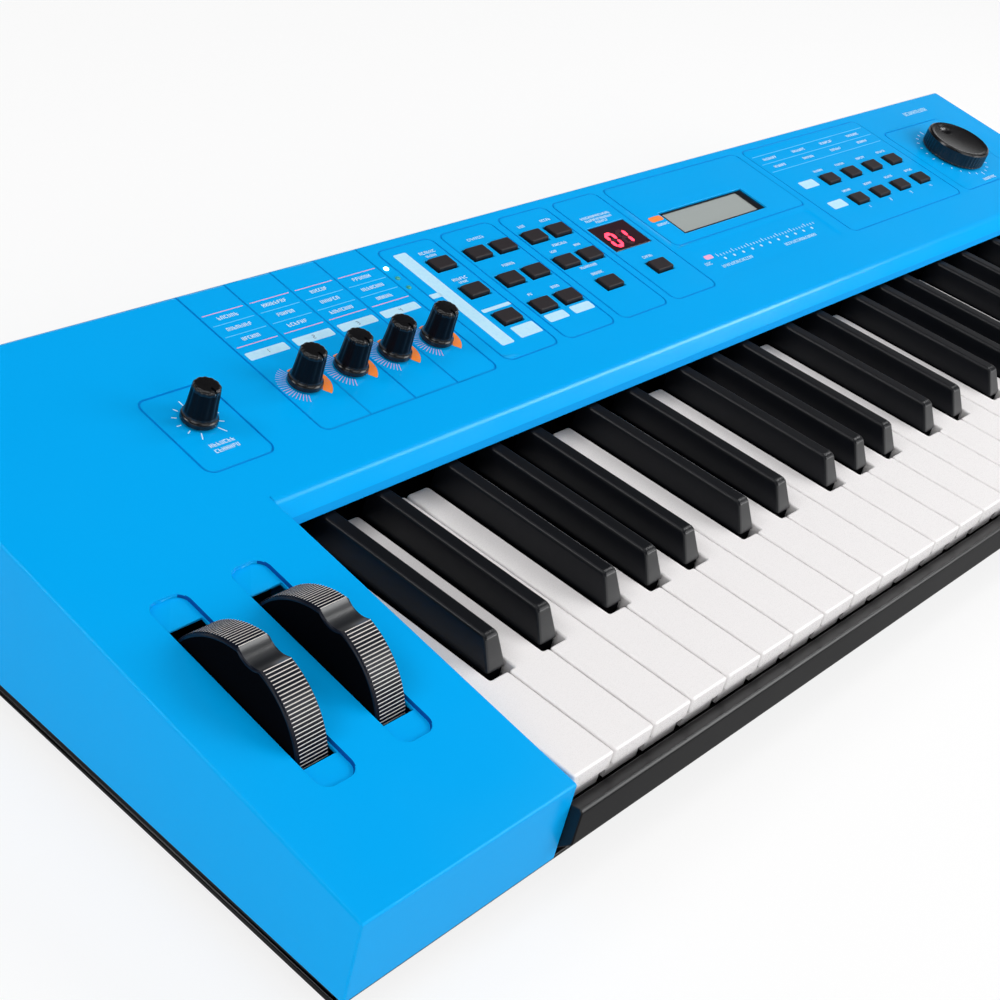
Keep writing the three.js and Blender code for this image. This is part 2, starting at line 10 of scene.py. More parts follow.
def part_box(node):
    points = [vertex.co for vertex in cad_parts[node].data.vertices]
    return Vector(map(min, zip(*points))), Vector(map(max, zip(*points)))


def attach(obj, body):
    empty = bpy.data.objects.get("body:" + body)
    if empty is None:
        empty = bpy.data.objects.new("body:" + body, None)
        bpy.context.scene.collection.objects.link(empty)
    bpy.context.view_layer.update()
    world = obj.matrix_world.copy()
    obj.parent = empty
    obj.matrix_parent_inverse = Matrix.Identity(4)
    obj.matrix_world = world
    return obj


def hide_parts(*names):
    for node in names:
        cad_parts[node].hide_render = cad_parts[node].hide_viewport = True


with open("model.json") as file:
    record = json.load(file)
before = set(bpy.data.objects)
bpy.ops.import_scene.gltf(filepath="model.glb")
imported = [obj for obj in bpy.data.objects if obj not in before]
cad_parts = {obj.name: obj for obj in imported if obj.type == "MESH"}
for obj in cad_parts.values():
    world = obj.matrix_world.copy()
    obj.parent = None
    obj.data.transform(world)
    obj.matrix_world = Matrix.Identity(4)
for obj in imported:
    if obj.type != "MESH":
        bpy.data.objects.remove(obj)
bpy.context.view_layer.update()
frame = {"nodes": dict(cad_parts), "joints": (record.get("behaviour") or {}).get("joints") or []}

# ---- Spaces: shapes are made in millimetres and placed in metres ----
MM = 0.001
PITCH = 23.5
KEY_GAP = 1.0
SLOPE = 0.129
ALONG = math.hypot(1, SLOPE)
key_low, key_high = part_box("key_c1")
case_low, case_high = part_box("top_case")
KEYS_LEFT = key_low.x - KEY_GAP / 2 * MM
KEYBOARD = Matrix.Translation((KEYS_LEFT, key_low.y, key_high.z)) @ Matrix.Scale(MM, 4)
PANEL = (
    Matrix.Translation((KEYS_LEFT, case_low.y, key_high.z))
    @ Matrix.Rotation(math.atan(SLOPE), 4, "X")
    @ Matrix.Scale(MM, 4)
)
ROW = Matrix.Scale(MM, 4)
CASE = "case"
BLOCK_TO_KEYS = (key_low.y - case_low.y) / MM


def up(y):
    """Distance up the panel of a place measured from the key fronts."""
    return (y + BLOCK_TO_KEYS) * ALONG


def panel_box(node):
    """A CAD node's box in panel space, in millimetres."""
    inverse = PANEL.inverted()
    points = [inverse @ v.co for v in frame["nodes"][node].data.vertices]
    low = Vector([min(p[i] for p in points) for i in range(3)])
    high = Vector([max(p[i] for p in points) for i in range(3)])
    return low, high


def panel_centre(node):
    low, high = panel_box(node)
    return (low.x + high.x) / 2, (low.y + high.y) / 2


# ---- Materials ----
def srgb(r, g, b):
    """0 to 255 display values as linear colour."""
    def linear(c):
        c /= 255
        return c / 12.92 if c <= 0.04045 else ((c + 0.055) / 1.055) ** 2.4
    return (linear(r), linear(g), linear(b), 1)


class Tree:
    """A node tree with short ways to add to it."""

    def __init__(self, tree):
        self.nodes = tree.nodes
        self.links = tree.links

    def feed(self, socket, value):
        """Links another node's output to an input, or sets the input."""
        if isinstance(value, bpy.types.NodeSocket):
            self.links.new(value, socket)
        else:
            socket.default_value = value

    def node(self, kind, inputs={}, **settings):
        made = self.nodes.new(kind)
        for key, value in settings.items():
            setattr(made, key, value)
        for key, value in inputs.items():
            self.feed(made.inputs[key], value)
        return made

    def ramp(self, fac, low, high, start=0.3, end=0.7, kind="LINEAR"):
        """A value from low to high as fac goes from start to end."""
        inputs = {0: fac, 1: start, 2: end, 3: low, 4: high}
        return self.node("ShaderNodeMapRange", inputs, interpolation_type=kind).outputs[0]


class Finish(Tree):
    """A Principled material with room for procedural detail."""

    def __init__(self, name, color, roughness, metallic=0.0, coat=0.0):
        self.material = bpy.data.materials.new(name)
        self.material.use_nodes = True
        self.material.diffuse_color = color
        super().__init__(self.material.node_tree)
        self.color = color
        self.set("Base Color", color)
        self.set("Roughness", roughness)
        self.set("Metallic", metallic)
        self.set("Coat Weight", coat)
        self.place = self.node("ShaderNodeTexCoord").outputs["Object"]

    def set(self, socket, value):
        self.feed(self.nodes["Principled BSDF"].inputs[socket], value)

    def noise(self, scale, detail=3.0, stretch=None):
        place = self.place
        if stretch:
            place = self.node("ShaderNodeMapping", {"Vector": place, "Scale": stretch}).outputs[0]
        inputs = {"Vector": place, "Scale": scale, "Detail": detail}
        return self.node("ShaderNodeTexNoise", inputs).outputs["Fac"]

    def tint(self, fac, other, start=0.3, end=0.7):
        """Mixes the base colour towards another as fac goes from start to end."""
        inputs = {0: self.ramp(fac, 0, 1, start, end), 6: self.color, 7: other}
        self.set("Base Color", self.node("ShaderNodeMix", inputs, data_type="RGBA").outputs[2])

    def bump(self, fac, strength, distance):
        inputs = {"Strength": strength, "Distance": distance, "Height": fac}
        self.set("Normal", self.node("ShaderNodeBump", inputs).outputs["Normal"])


def mixed(color, other, share):
    return tuple(a + (b - a) * share for a, b in zip(color, other))


WHITE = (1, 1, 1, 1)
BLUE = srgb(0, 166, 240)


def moulded(name, color, roughness, specular=0.5, shade=0.05, cloud=7, grain=2600, depth=0.01, tint=WHITE):
    """Moulded plastic: a fine even grain, faint flow clouds and a slightly uneven sheen.

    The grain's depth is in millimetres; shade is how much lighter the clouds are.
    """
    made = Finish(name, color, roughness)
    made.set("Specular IOR Level", specular)
    made.set("Specular Tint", tint)
    lighter = tuple(c * (1 + shade) for c in color[:3]) + (1,)
    made.tint(made.noise(cloud, 2), lighter, 0.25, 0.8)
    made.set("Roughness", made.ramp(made.noise(max(25, cloud), 2), roughness - 0.02, roughness + 0.02))
    made.bump(made.noise(grain, 2), 0.25, depth * MM)
    return made.material


case_blue = moulded("case_blue", BLUE, 0.2, 0.3, 0.02, depth=0.015, tint=(0.3, 0.85, 1, 1))
# A darker, matt blue painted in the grooves and on the fallboard's lower roll as shade.
groove_shade_blue = moulded("groove_shade_blue", srgb(0, 146, 220), 0.6, 0.05, 0.04)
# A dark blue painted on the wells' right walls as shade.
well_wall_shade = moulded("well_wall_shade", srgb(0, 78, 156), 0.6, 0.05, 0.04)
tray_black = moulded("tray_black", srgb(10, 10, 12), 0.3, 0.4, grain=1800, depth=0.03)
key_white = moulded("key_white", srgb(241, 238, 238), 0.28, 0.4, 0.01, 2600, 2600, 0.003)
key_black = moulded("key_black", srgb(9, 11, 16), 0.3, 0.22)
key_nose = moulded("key_nose", srgb(12, 14, 18), 0.34, 0.7)
knob_black = moulded("knob_black", srgb(6, 6, 9), 0.24, 0.45)
knob_wall = moulded("knob_wall", srgb(5, 6, 11), 0.4, 0.12)
# The wheels' black plastic, with a navy tint painted in as the blue case's reflection.
wheel_black = moulded("wheel_black", srgb(5, 12, 27), 0.3, 0.2)
wheel_notch = moulded("wheel_notch", srgb(12, 16, 22), 0.32, 1.0)
# Light grey painted on the wheels' rib crests as highlights.
wheel_rib_highlight = moulded("wheel_rib_highlight", srgb(212, 206, 202), 0.45, 0.5, 0.1, 300)
shade_black = moulded("shade_black", srgb(4, 4, 6), 0.8, 0.02)
# Near black painted on the button sides and chamfers as shade, darker than the tops.
button_black = moulded("button_black", srgb(8, 8, 12), 0.45, 0.2)
button_top = moulded("button_top", srgb(36, 31, 34), 0.5, 0.2, 0.2, 300)
rubber = moulded("foot_rubber", srgb(28, 28, 29), 0.8, shade=0.4, grain=900, depth=0.1)
frame_grey = moulded("frame_grey", srgb(92, 94, 98), 0.6, shade=0.15, grain=700, depth=0.1)
felt_black = moulded("felt_black", srgb(14, 14, 15), 0.95, shade=0.6, grain=900, depth=0.3)


def ink(name, color):
    made = Finish(name, color, 0.5)
    made.tint(made.noise(700, 3), mixed(color, BLUE, 0.16), 0.45, 0.8)
    made.bump(made.noise(1500, 2), 0.2, 0.00002)
    return made.material


ink_white = ink("ink_white", srgb(214, 240, 255))
ink_pale = ink("ink_pale", srgb(186, 229, 250))
ink_orange = ink("ink_orange", srgb(255, 138, 36))
ink_pink = ink("ink_pink", srgb(232, 172, 208))
ink_violet = ink("ink_violet", srgb(190, 184, 244))
ink_grey = ink("ink_grey", srgb(120, 150, 172))
ink_line = ink("ink_line", srgb(88, 200, 250))


def metal(name, color, roughness, stretch):
    made = Finish(name, color, roughness, metallic=1.0)
    lines = made.noise(500, 4, stretch)
    made.set("Roughness", made.ramp(lines, roughness - 0.1, roughness + 0.12))
    made.tint(lines, mixed(color, (0, 0, 0, 1), 0.2))
    made.bump(lines, 0.15, 0.00003)
    return made.material


steel = metal("zinc_steel", srgb(186, 189, 194), 0.34, (1, 12, 1))
nickel = metal("socket_nickel", srgb(205, 203, 198), 0.25, (1, 1, 14))
gold = metal("contact_gold", srgb(212, 178, 106), 0.28, (1, 1, 4))


def circuit_board():
    made = Finish("circuit_board", srgb(20, 92, 58), 0.38, coat=0.3)
    inputs = {"Vector": made.place, "Scale": 260.0}
    cells = made.node("ShaderNodeTexVoronoi", inputs, feature="DISTANCE_TO_EDGE")
    made.tint(cells.outputs["Distance"], srgb(9, 56, 36), 0.04, 0.07)
    made.bump(made.noise(400, 3), 0.3, 0.00005)
    return made.material


board_green = circuit_board()


def window_dark():
    made = Finish("window_smoked", srgb(52, 24, 34), 0.1, coat=0.5)
    made.tint(made.noise(40, 3), srgb(38, 16, 26))
    made.bump(made.noise(90, 2), 0.05, 0.00002)
    return made.material


led_window = window_dark()


def lamp(name, color, other, cloud, roughness=0.3, coat=0.0, glow=None):
    made = Finish(name, color, roughness, coat=coat)
    made.tint(made.noise(cloud, 2), other)
    if glow:
        made.set("Emission Color", glow[0])
        made.set("Emission Strength", glow[1])
    return made.material


led_red = lamp("led_red", srgb(255, 60, 84), srgb(255, 96, 110), 300, glow=(srgb(255, 38, 66), 3.2))
led_off = lamp("led_off", srgb(66, 30, 40), srgb(56, 24, 34), 300)
led_lit = lamp("led_lit", srgb(226, 255, 226), WHITE, 800, 0.2, glow=(srgb(190, 255, 200), 5.0))
led_green = lamp("led_green", srgb(34, 170, 150), srgb(16, 142, 130), 800, 0.25, 0.4)


def display_cells():
    """A fine cell grid over an even grey."""
    made = Finish("display_grey", srgb(163, 170, 168), 0.22, coat=0.4)
    inputs = {"Color1": WHITE, "Color2": WHITE, "Mortar": (0, 0, 0, 1), "Mortar Size": 0.06}
    inputs |= {"Vector": made.place, "Scale": 1100.0}
    grid = made.node("ShaderNodeTexBrick", inputs, offset=0.0)
    made.tint(grid.outputs["Color"], srgb(170, 176, 174), 0.0, 1.0)
    return made.material


display_grey = display_cells()


# ---- Mesh code ----
def rounded(points, radii, steps=4):
    """A counter-clockwise outline with rounded corners, as (point, outward normal) pairs."""
    made = []
    for i, corner in enumerate(points):
        p, before, after = Vector(corner), Vector(points[i - 1]), Vector(points[(i + 1) % len(points)])
        coming, going = (p - before).normalized(), (after - p).normalized()
        n0 = Vector((coming.y, -coming.x))
        n1 = Vector((going.y, -going.x))
        turn = math.atan2(coming.x * going.y - coming.y * going.x, coming.dot(going))
        radius = radii[i] if isinstance(radii, (list, tuple)) else radii
        if radius <= 0:
            made.append((p, (n0 + n1) / (1 + n0.dot(n1))))
            continue
        side = 1 if turn > 0 else -1
        reach = radius * math.tan(abs(turn) / 2)
        centre = p - coming * reach - n0 * radius * side
        for k in range(steps + 1):
            a = turn * k / steps
            n = Vector((n0.x * math.cos(a) - n0.y * math.sin(a), n0.x * math.sin(a) + n0.y * math.cos(a)))
            made.append((centre + n * radius * side, n))
    return made


def rectangle(x0, x1, y0, y1, radius, steps=4):
    return rounded([(x0, y0), (x1, y0), (x1, y1), (x0, y1)], radius, steps)


def circle(x, y, radius, count=48):
    made = []
    for k in range(count):
        a = 2 * math.pi * k / count
        n = Vector((math.cos(a), math.sin(a)))
        made.append((Vector((x, y)) + n * radius, n))
    return made


def ring(outline, inset, z):
    return [Vector((p.x - n.x * inset, p.y - n.y * inset, z)) for p, n in outline]


def round_over(top, radius, steps=3):
    """Levels (inset, height) of an edge rounded at the top of a prism."""
    quarter = [math.pi / 2 * k / steps for k in range(steps + 1)]
    return [(radius * (1 - math.sin(a)), top - radius * (1 - math.cos(a))) for a in quarter]


def join_rings(bm, rings, closed=False):
    """Skins a stack of equal rings, joining the last to the first or closing each end with one face."""
    loops = [[bm.verts.new(p) for p in points] for points in rings]
    count = len(loops[0])
    pairs = list(zip(loops, loops[1:]))
    if closed:
        pairs.append((loops[-1], loops[0]))
    for a, b in pairs:
        for i in range(count):
            j = (i + 1) % count
            bm.faces.new((a[i], a[j], b[j], b[i]))
    if not closed:
        bm.faces.new(loops[0][::-1])
        bm.faces.new(loops[-1])


def prism(bm, outline, levels):
    """A prism through (inset, height) levels, listed from the top down."""
    join_rings(bm, [ring(outline, inset, z) for inset, z in reversed(levels)])


def slab(bm, x0, x1, y0, y1, z0, z1, radius=0.0):
    prism(bm, rectangle(x0, x1, y0, y1, radius, 3), [(0, z1), (0, z0)])


def lathe(bm, profile, count=48, x=0.0, y=0.0, shape=None):
    """Turns [radius, height] points, listed from the bottom up, about Z; shape varies the radius."""
    rings = []
    for r, z in profile:
        points = []
        for k in range(count):
            a = 2 * math.pi * k / count
            grown = r * (shape(a, z) if shape else 1)
            points.append(Vector((x + grown * math.cos(a), y + grown * math.sin(a), z)))
        rings.append(points)
    join_rings(bm, rings)


def fresh(make, *details, **more):
    """A new bmesh with one shape in it."""
    bm = bmesh.new()
    make(bm, *details, **more)
    return bm


def as_mesh(bm, name="part"):
    bmesh.ops.recalc_face_normals(bm, faces=bm.faces)
    mesh = bpy.data.meshes.new(name)
    bm.to_mesh(mesh)
    bm.free()
    return mesh


def add_mesh(bm, mesh, space):
    mesh.transform(space)
    bm.from_mesh(mesh)


def stand(name, data):
    """A new object in the scene."""
    obj = bpy.data.objects.new(name, data)
    bpy.context.scene.collection.objects.link(obj)
    return obj


def show(name, shape, space, materials, body=CASE, angle=32, node=None):
    """A finished piece from a mesh or bmesh in a local space, in place of a CAD node if one is named.

    Shading is smooth but keeps flat faces flat and sharp edges sharp.
    """
    mesh = as_mesh(shape, name) if isinstance(shape, bmesh.types.BMesh) else shape
    mesh.transform(space)
    obj = stand(name, mesh)
    indices = [face.material_index for face in mesh.polygons]
    mesh.materials.clear()
    for material in materials if isinstance(materials, list) else [materials]:
        mesh.materials.append(material)
    mesh.polygons.foreach_set("material_index", indices)
    mesh.polygons.foreach_set("use_smooth", [True] * len(mesh.polygons))
    mesh.set_sharp_from_angle(angle=math.radians(angle))
    weighted = obj.modifiers.new("flat_faces", "WEIGHTED_NORMAL")
    weighted.keep_sharp = True
    weighted.weight = 80
    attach(obj, body)
    if node:
        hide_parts(node)


def from_node(node):
    """A CAD node's solid as a clean mesh in row millimetres, its flat faces whole."""
    bm = bmesh.new()
    bm.from_mesh(frame["nodes"][node].data)
    bm.transform(ROW.inverted())
    bmesh.ops.remove_doubles(bm, verts=bm.verts, dist=0.002)
    bmesh.ops.dissolve_limit(
        bm, angle_limit=math.radians(0.5), verts=bm.verts, edges=bm.edges, delimit=set()
    )
    return bm


def modified(mesh, kind, **settings):
    """The mesh as one modifier leaves it."""
    target = stand("target", mesh)
    modifier = target.modifiers.new("change", kind)
    for key, value in settings.items():
        setattr(modifier, key, value)
    graph = bpy.context.evaluated_depsgraph_get()
    made = bpy.data.meshes.new_from_object(target.evaluated_get(graph), depsgraph=graph)
    bpy.data.objects.remove(target)
    return made


def carve(mesh, cutter, operation="DIFFERENCE"):
    """The mesh with a cutter taken away; faces keep the material slots of both."""
    for one in (mesh, cutter):
        while len(one.materials) < 3:
            one.materials.append(None)
    tool = stand("cutter", cutter)
    made = modified(mesh, "BOOLEAN", object=tool, operation=operation, solver="MANIFOLD")
    bpy.data.objects.remove(tool)
    return made


def fine_bevel(mesh, width, segments=2, angle=38):
    """Breaks every sharp edge of a mesh by a small width."""
    return modified(
        mesh, "BEVEL", width=width, segments=segments, limit_method="ANGLE",
        angle_limit=math.radians(angle), use_clamp_overlap=False, loop_slide=False,
    )


# ---- Panel layout, X from the left edge of the keys and Y from the key fronts ----
REAR_EDGE = 275.5
GROOVE_WIDTH = 1.0
GROOVE_DEPTH = 0.7
VOLUME_BOX = (-14.5, 20, 178.5, 224.5)
KNOB_COLUMNS = (46, 72.5, 99, 125.5, 152.5)
GROUPS = [(160.5, 197.5), (203.5, 240.7), (246.5, 283.7), (289.5, 326.5)]
GROUP_FRONT, GROUP_BACK = 180.5, 269.5
DISPLAY_BOX = (333, 461, 214.5, 269.5)
SCALE_BOX = (333, 457, 183, 211)
SCALE_SUNK = 0.7
STRIP_BOX = (467.5, 600, 183, 269.5)
DIAL_BOX = (608, 682, 183, 251)
WHEEL_WELLS = [(-79.5, -62.9, 41.5, 134.5), (-42.9, -26.3, 41.5, 134.5)]
BAR = (167, 175.5, 190, 264)
RIGHT_COLUMNS = (507.5, 532.5, 557.5, 582.5)
LED_X = 156
LED_Y = (257, 249, 241.5)


def groove_path(points, closed):
    """Cutter for a groove along a path in panel space, wider at the top than at the bottom."""
    wide, narrow = GROOVE_WIDTH * 0.62, GROOVE_WIDTH * 0.3
    corners = ((-wide, 0.3), (wide, 0.3), (narrow, -GROOVE_DEPTH), (-narrow, -GROOVE_DEPTH))
    first, last = points[-1], points[0]
    if not closed:
        first, last = 2 * points[0] - points[1], 2 * points[-1] - points[-2]
    sections = []
    for before, p, after in zip([first, *points], points, [*points[1:], last]):
        coming, going = (p - before).normalized(), (after - p).normalized()
        n0, n1 = Vector((coming.y, -coming.x)), Vector((going.y, -going.x))
        side = (n0 + n1) / (1 + n0.dot(n1))
        sections.append([Vector((*(p + side * reach), z)) for reach, z in corners])
    return fresh(join_rings, sections, closed=closed)


def field(x0, x1, y0, y1, radius, steps=3):
    """A rectangle in panel space, from places measured from the key fronts."""
    return rectangle(x0, x1, up(y0), up(y1), radius, steps)


def merge_cutters(parts, slot=0):
    """One cutter of many; without a slot, faces turned to the right get slot 2, where a painted shade goes.
    """
    whole = bmesh.new()
    for part in parts:
        whole.from_mesh(as_mesh(part))
    whole.normal_update()
    for face in whole.faces:
        face.material_index = slot or 2 * int(face.normal.x > 0.6)
    mesh = as_mesh(whole)
    mesh.transform(ROW.inverted() @ PANEL)
    return mesh


def groove_cutters():
    """The outlines of the fields, then the dividers of the knob columns, which meet an outline."""
    boxes = [VOLUME_BOX] + [(x0, x1, GROUP_FRONT, GROUP_BACK) for x0, x1 in GROUPS]
    boxes += [DISPLAY_BOX, STRIP_BOX, DIAL_BOX]
    outlines = [groove_path([p for p, _ in field(*box, 4.5, 5)], True) for box in boxes]
    left, right = KNOB_COLUMNS[0], KNOB_COLUMNS[-1]
    front, back = up(179), up(279)
    corner = rounded([(left, up(290)), (left, front), (right, front), (right, up(290))], 4, 5)
    path = [Vector((left, back))] + [p for p, _ in corner][6:-6] + [Vector((right, back))]
    outlines.insert(1, groove_path(path, False))
    dividers = [groove_path([Vector((x, front)), Vector((x, back))], False) for x in KNOB_COLUMNS[1:-1]]
    # Slot 1 is the blue painted darker in the grooves as shade.
    return merge_cutters(outlines, 1), merge_cutters(dividers, 1)


def well_cutters():
    """Shallow wells round the wheels and the sunk field of the scale print; the walls turned to the right
    take a blue painted darker as shade.
    """
    parts = []
    for well in WHEEL_WELLS:
        parts.append(fresh(prism, field(*well, 5, 6), [(-0.5, 0.6), (-0.25, 0), (0, -0.25), (0.2, -1.5)]))
    parts.append(fresh(prism, field(*SCALE_BOX, 4, 6), [(-0.6, 0.5), (0, 0), (1.0, -SCALE_SUNK)]))
    return merge_cutters(parts)


# ---- Case ----
TRIM = 0.02


def case_hull():
    """The rounded outer form of the top case, a hair inside its flat faces."""
    low, high = case_low / MM, case_high / MM
    rear_edge = key_low.y / MM + REAR_EDGE

    def panel_z(y):
        return key_high.z / MM + SLOPE * (y - low.y) - TRIM

    y0, y1, z0 = low.y + TRIM, high.y - TRIM, low.z + TRIM
    corners = [(y0, z0), (y1, z0), (y1, 60), (y1 - 3.5, 70)]
    corners += [(rear_edge, panel_z(rear_edge)), (y0, panel_z(y0))]
    outline = rounded(corners, [1, 1, 12, 8, 2.4, 1.0], 5)
    right = round_over(high.x - TRIM, 0.9, 4)
    left = [(inset, -x) for inset, x in reversed(right)]
    hull = as_mesh(fresh(prism, outline, right + left))
    hull.transform(Matrix(((0, 0, 1, 0), (1, 0, 0, 0), (0, 1, 0, 0), (0, 0, 0, 1))))
    return hull


def roll_cutter(corner, flat, steep, width, span, slot=0):
    """Leaves an arc in place of an edge along X where planes of two tilts meet."""
    radius = width / math.tan((steep - flat) / 2)

    def out(a):
        return Vector((-math.sin(a), math.cos(a)))

    start = corner + width * Vector((math.cos(flat), math.sin(flat)))
    centre = start - radius * out(flat)
    angles = [flat + (steep - flat) * k / 8 for k in range(9)]
    outline = [centre + radius * out(a) for a in angles]
    outline += [outline[-1] + 3.0 * out(steep), outline[0] + 3.0 * out(flat)]
    made = fresh(join_rings, [[Vector((x, p.x, p.y)) for p in outline] for x in span])
    for face in made.faces:
        face.material_index = slot
    return as_mesh(made)


def fall_cutters(bm):
    """Where the panel rolls into the fallboard, and the fallboard into its lower edge."""
    edge_y = 15
    edge_z = (key_high.z - SLOPE * case_low.y) / MM + SLOPE * edge_y

    def on_edge(v):
        return abs(v.co.y - edge_y) < 0.05 and abs(v.co.z - edge_z) < 0.05

    edges = [e for e in bm.edges if all(map(on_edge, e.verts))]
    xs = [v.co.x for e in edges for v in e.verts]
    span = (min(xs), max(xs))
    face = min(edges[0].link_faces, key=lambda f: f.normal.z)
    steep = math.atan2(-face.normal.y, face.normal.z)
    foot = min((v.co for v in face.verts), key=lambda p: p.z)
    lowered = TRIM / (math.tan(steep) - SLOPE)
    top = Vector((edge_y - lowered, edges[0].verts[0].co.z - lowered * math.tan(steep)))
    lip = Vector((foot.y + 0.7, foot.z + 0.7 * math.tan(steep)))
    return [
        roll_cutter(top, math.atan(SLOPE), steep, 2.4, span),
        # The lower roll takes slot 1, the blue painted darker as shade.
        roll_cutter(lip, steep, math.radians(85), 3.6, span, 1),
    ]


def build_top_case():
    bm = from_node("top_case")
    rolls = fall_cutters(bm)
    mesh = carve(as_mesh(bm), case_hull(), "INTERSECT")
    for roll in rolls:
        mesh = carve(mesh, roll)
    mesh = carve(fine_bevel(mesh, 0.35), well_cutters())
    for grooves in groove_cutters():
        mesh = carve(mesh, grooves)
    # Slots: the case blue, then the blue painted darker as shade in the grooves and on the wells' right
    # walls.
    show("top_case_shell", mesh, ROW, [case_blue, groove_shade_blue, well_wall_shade], node="top_case")


def build_bottom_case():
    mesh = fine_bevel(as_mesh(from_node("bottom_case")), 0.6, 3, 30)
    show("bottom_tray", mesh, ROW, tray_black, node="bottom_case")


# ---- Keys ----
CUTOUT = 51.5
CUTOUT_WIDTH = 13.8
WHITE_LENGTH = 151.5
BLACK_OFFSET = {0: -3.2, 1: 3.2, 3: -3.0, 4: 0.3, 5: 3.3}
WHITE_COUNT = 29
SINGLES = 14
NOTES = "cdefgab"


def has_black(i):
    return i < WHITE_COUNT - 1 and i % 7 in BLACK_OFFSET


def black_centre(i):
    return (i + 1) * PITCH + BLACK_OFFSET[i % 7]


def lever(bm, x0, x1, z0, z1):
    prism(bm, rectangle(x0, x1, WHITE_LENGTH - 3, 203.5, 0.8, 2), [(0.3, z1), (0, z1 - 0.3), (0, z0)])


def white_key(i):
    left = i * PITCH + KEY_GAP / 2
    right = left + PITCH - KEY_GAP
    tail_left = black_centre(i - 1) + CUTOUT_WIDTH / 2 if i and has_black(i - 1) else left
    tail_right = black_centre(i) - CUTOUT_WIDTH / 2 if has_black(i) else right
    points = [(left, 0), (right, 0)]
    radii = [1.2, 1.2]
    if tail_right < right:
        points += [(right, CUTOUT), (tail_right, CUTOUT)]
        radii += [1.2, 0.8]
    points += [(tail_right, WHITE_LENGTH), (tail_left, WHITE_LENGTH)]
    radii += [1.8, 1.8]
    if tail_left > left:
        points += [(tail_left, CUTOUT), (left, CUTOUT)]
        radii += [0.8, 1.2]
    outline = rounded(points, radii, 4)
    lip, under, depth = -7.6, 2.5, -16
    rings = [ring(outline, inset, z) for inset, z in round_over(0, 1.0, 4)]
    # The lip's lower corners are rounded; below it the sides stay in by as much.
    corner = 1.5
    for share in (0, 0.3, 0.55, 0.8, 1):
        inset = corner * (1 - math.sqrt(1 - share**2))
        z = lip + corner * (1 - share)
        rings.append([Vector((p.x - n.x * inset, p.y - n.y * 0.15 * share, z)) for p, n in outline])
    recessed = [Vector((p.x, max(p.y, under), lip)) for p in rings[-1]]
    lower = [Vector((p.x, p.y, depth)) for p in recessed]
    bm = bmesh.new()
    join_rings(bm, list(reversed(rings + [recessed, lower])))
    count = len(bm.faces)
    lever(bm, tail_left + 1.8, tail_right - 1.8, -14, -4)
    for n, face in enumerate(bm.faces):
        face.material_index = int(n >= count)
    return bm


def black_key(i):
    """Drafted sides, a sloping front rolled over into the top, and a skirt set back below."""
    x = black_centre(i)
    foot, crown = 10.2 / 2, 7.4 / 2
    front, lean, height = 54.5, 6.0, 12.5
    roll, roll_front, drop = 1.3, 2.6, 1.7
    sill = -0.4

    def level(z, inset=0.0, inset_front=0.0, soft=1.3):
        share = max(z, 0) / height
        half = foot + (crown - foot) * share - inset
        y = front + lean * share + inset_front
        corners = [(x - half, y), (x + half, y), (x + half, WHITE_LENGTH), (x - half, WHITE_LENGTH)]
        return ring(rounded(corners, [soft, soft, 0.3, 0.3], 4), 0, z)

    rings = [level(-10, 0.2, 0.6), level(sill, 0.2, 0.6), level(sill), level(0.3)]
    steps = 6
    for k in range(steps + 1):
        a = math.pi / 2 * k / steps
        fall = 1 - math.cos(a)
        z = height - drop * (1 - math.sin(a))
        rings.append(level(z, roll * fall, roll_front * fall, 1.3 - 0.5 * fall))
    bm = bmesh.new()
    join_rings(bm, rings)
    lever(bm, x - 3.8, x + 3.8, -14, -9.6)
    bmesh.ops.recalc_face_normals(bm, faces=bm.faces)
    for face in bm.faces:
        low = face.calc_center_median().z < sill + 0.1
        face.material_index = 1 if low else 2 * int(face.normal.y < -0.75)
    return bm


def build_keys():
    """The keys of the lowest octaves move alone, the others on the comb of their colour."""
    whites, blacks = [key_white, shade_black], [key_black, shade_black, key_nose]
    for i in range(WHITE_COUNT):
        name = f"key_{NOTES[i % 7]}{i // 7 + 1}"
        body = name if i < SINGLES else "treble_white_keys"
        node = body if i <= SINGLES else None
        show(f"{name}_ivory", white_key(i), KEYBOARD, whites, body, node=node)
        if has_black(i):
            name += "_sharp"
            body = name if i < SINGLES else "treble_black_keys"
            node = body if i <= SINGLES else None
            show(f"{name}_ebony", black_key(i), KEYBOARD, blacks, body, 40, node)


# ---- Wheels ----
WHEEL_RADIUS = 35
WHEEL_HALF = 14.2 / 2
RIB_DEPTH = 0.5
RIB_PITCH = math.radians(2.25)
RIM_END = math.radians(110)
NOTCH_RADIUS = 10.0
NOTCH_DEPTH = 2.7
# The notch circle's centre over the axle, and where that circle meets the rim.
NOTCH_CENTRE = WHEEL_RADIUS - NOTCH_DEPTH + NOTCH_RADIUS
MEET_Z = (WHEEL_RADIUS**2 - NOTCH_RADIUS**2 + NOTCH_CENTRE**2) / (2 * NOTCH_CENTRE)
MEET_Y = math.sqrt(WHEEL_RADIUS**2 - MEET_Z**2)
NOTCH_HALF = math.atan2(MEET_Y, MEET_Z)


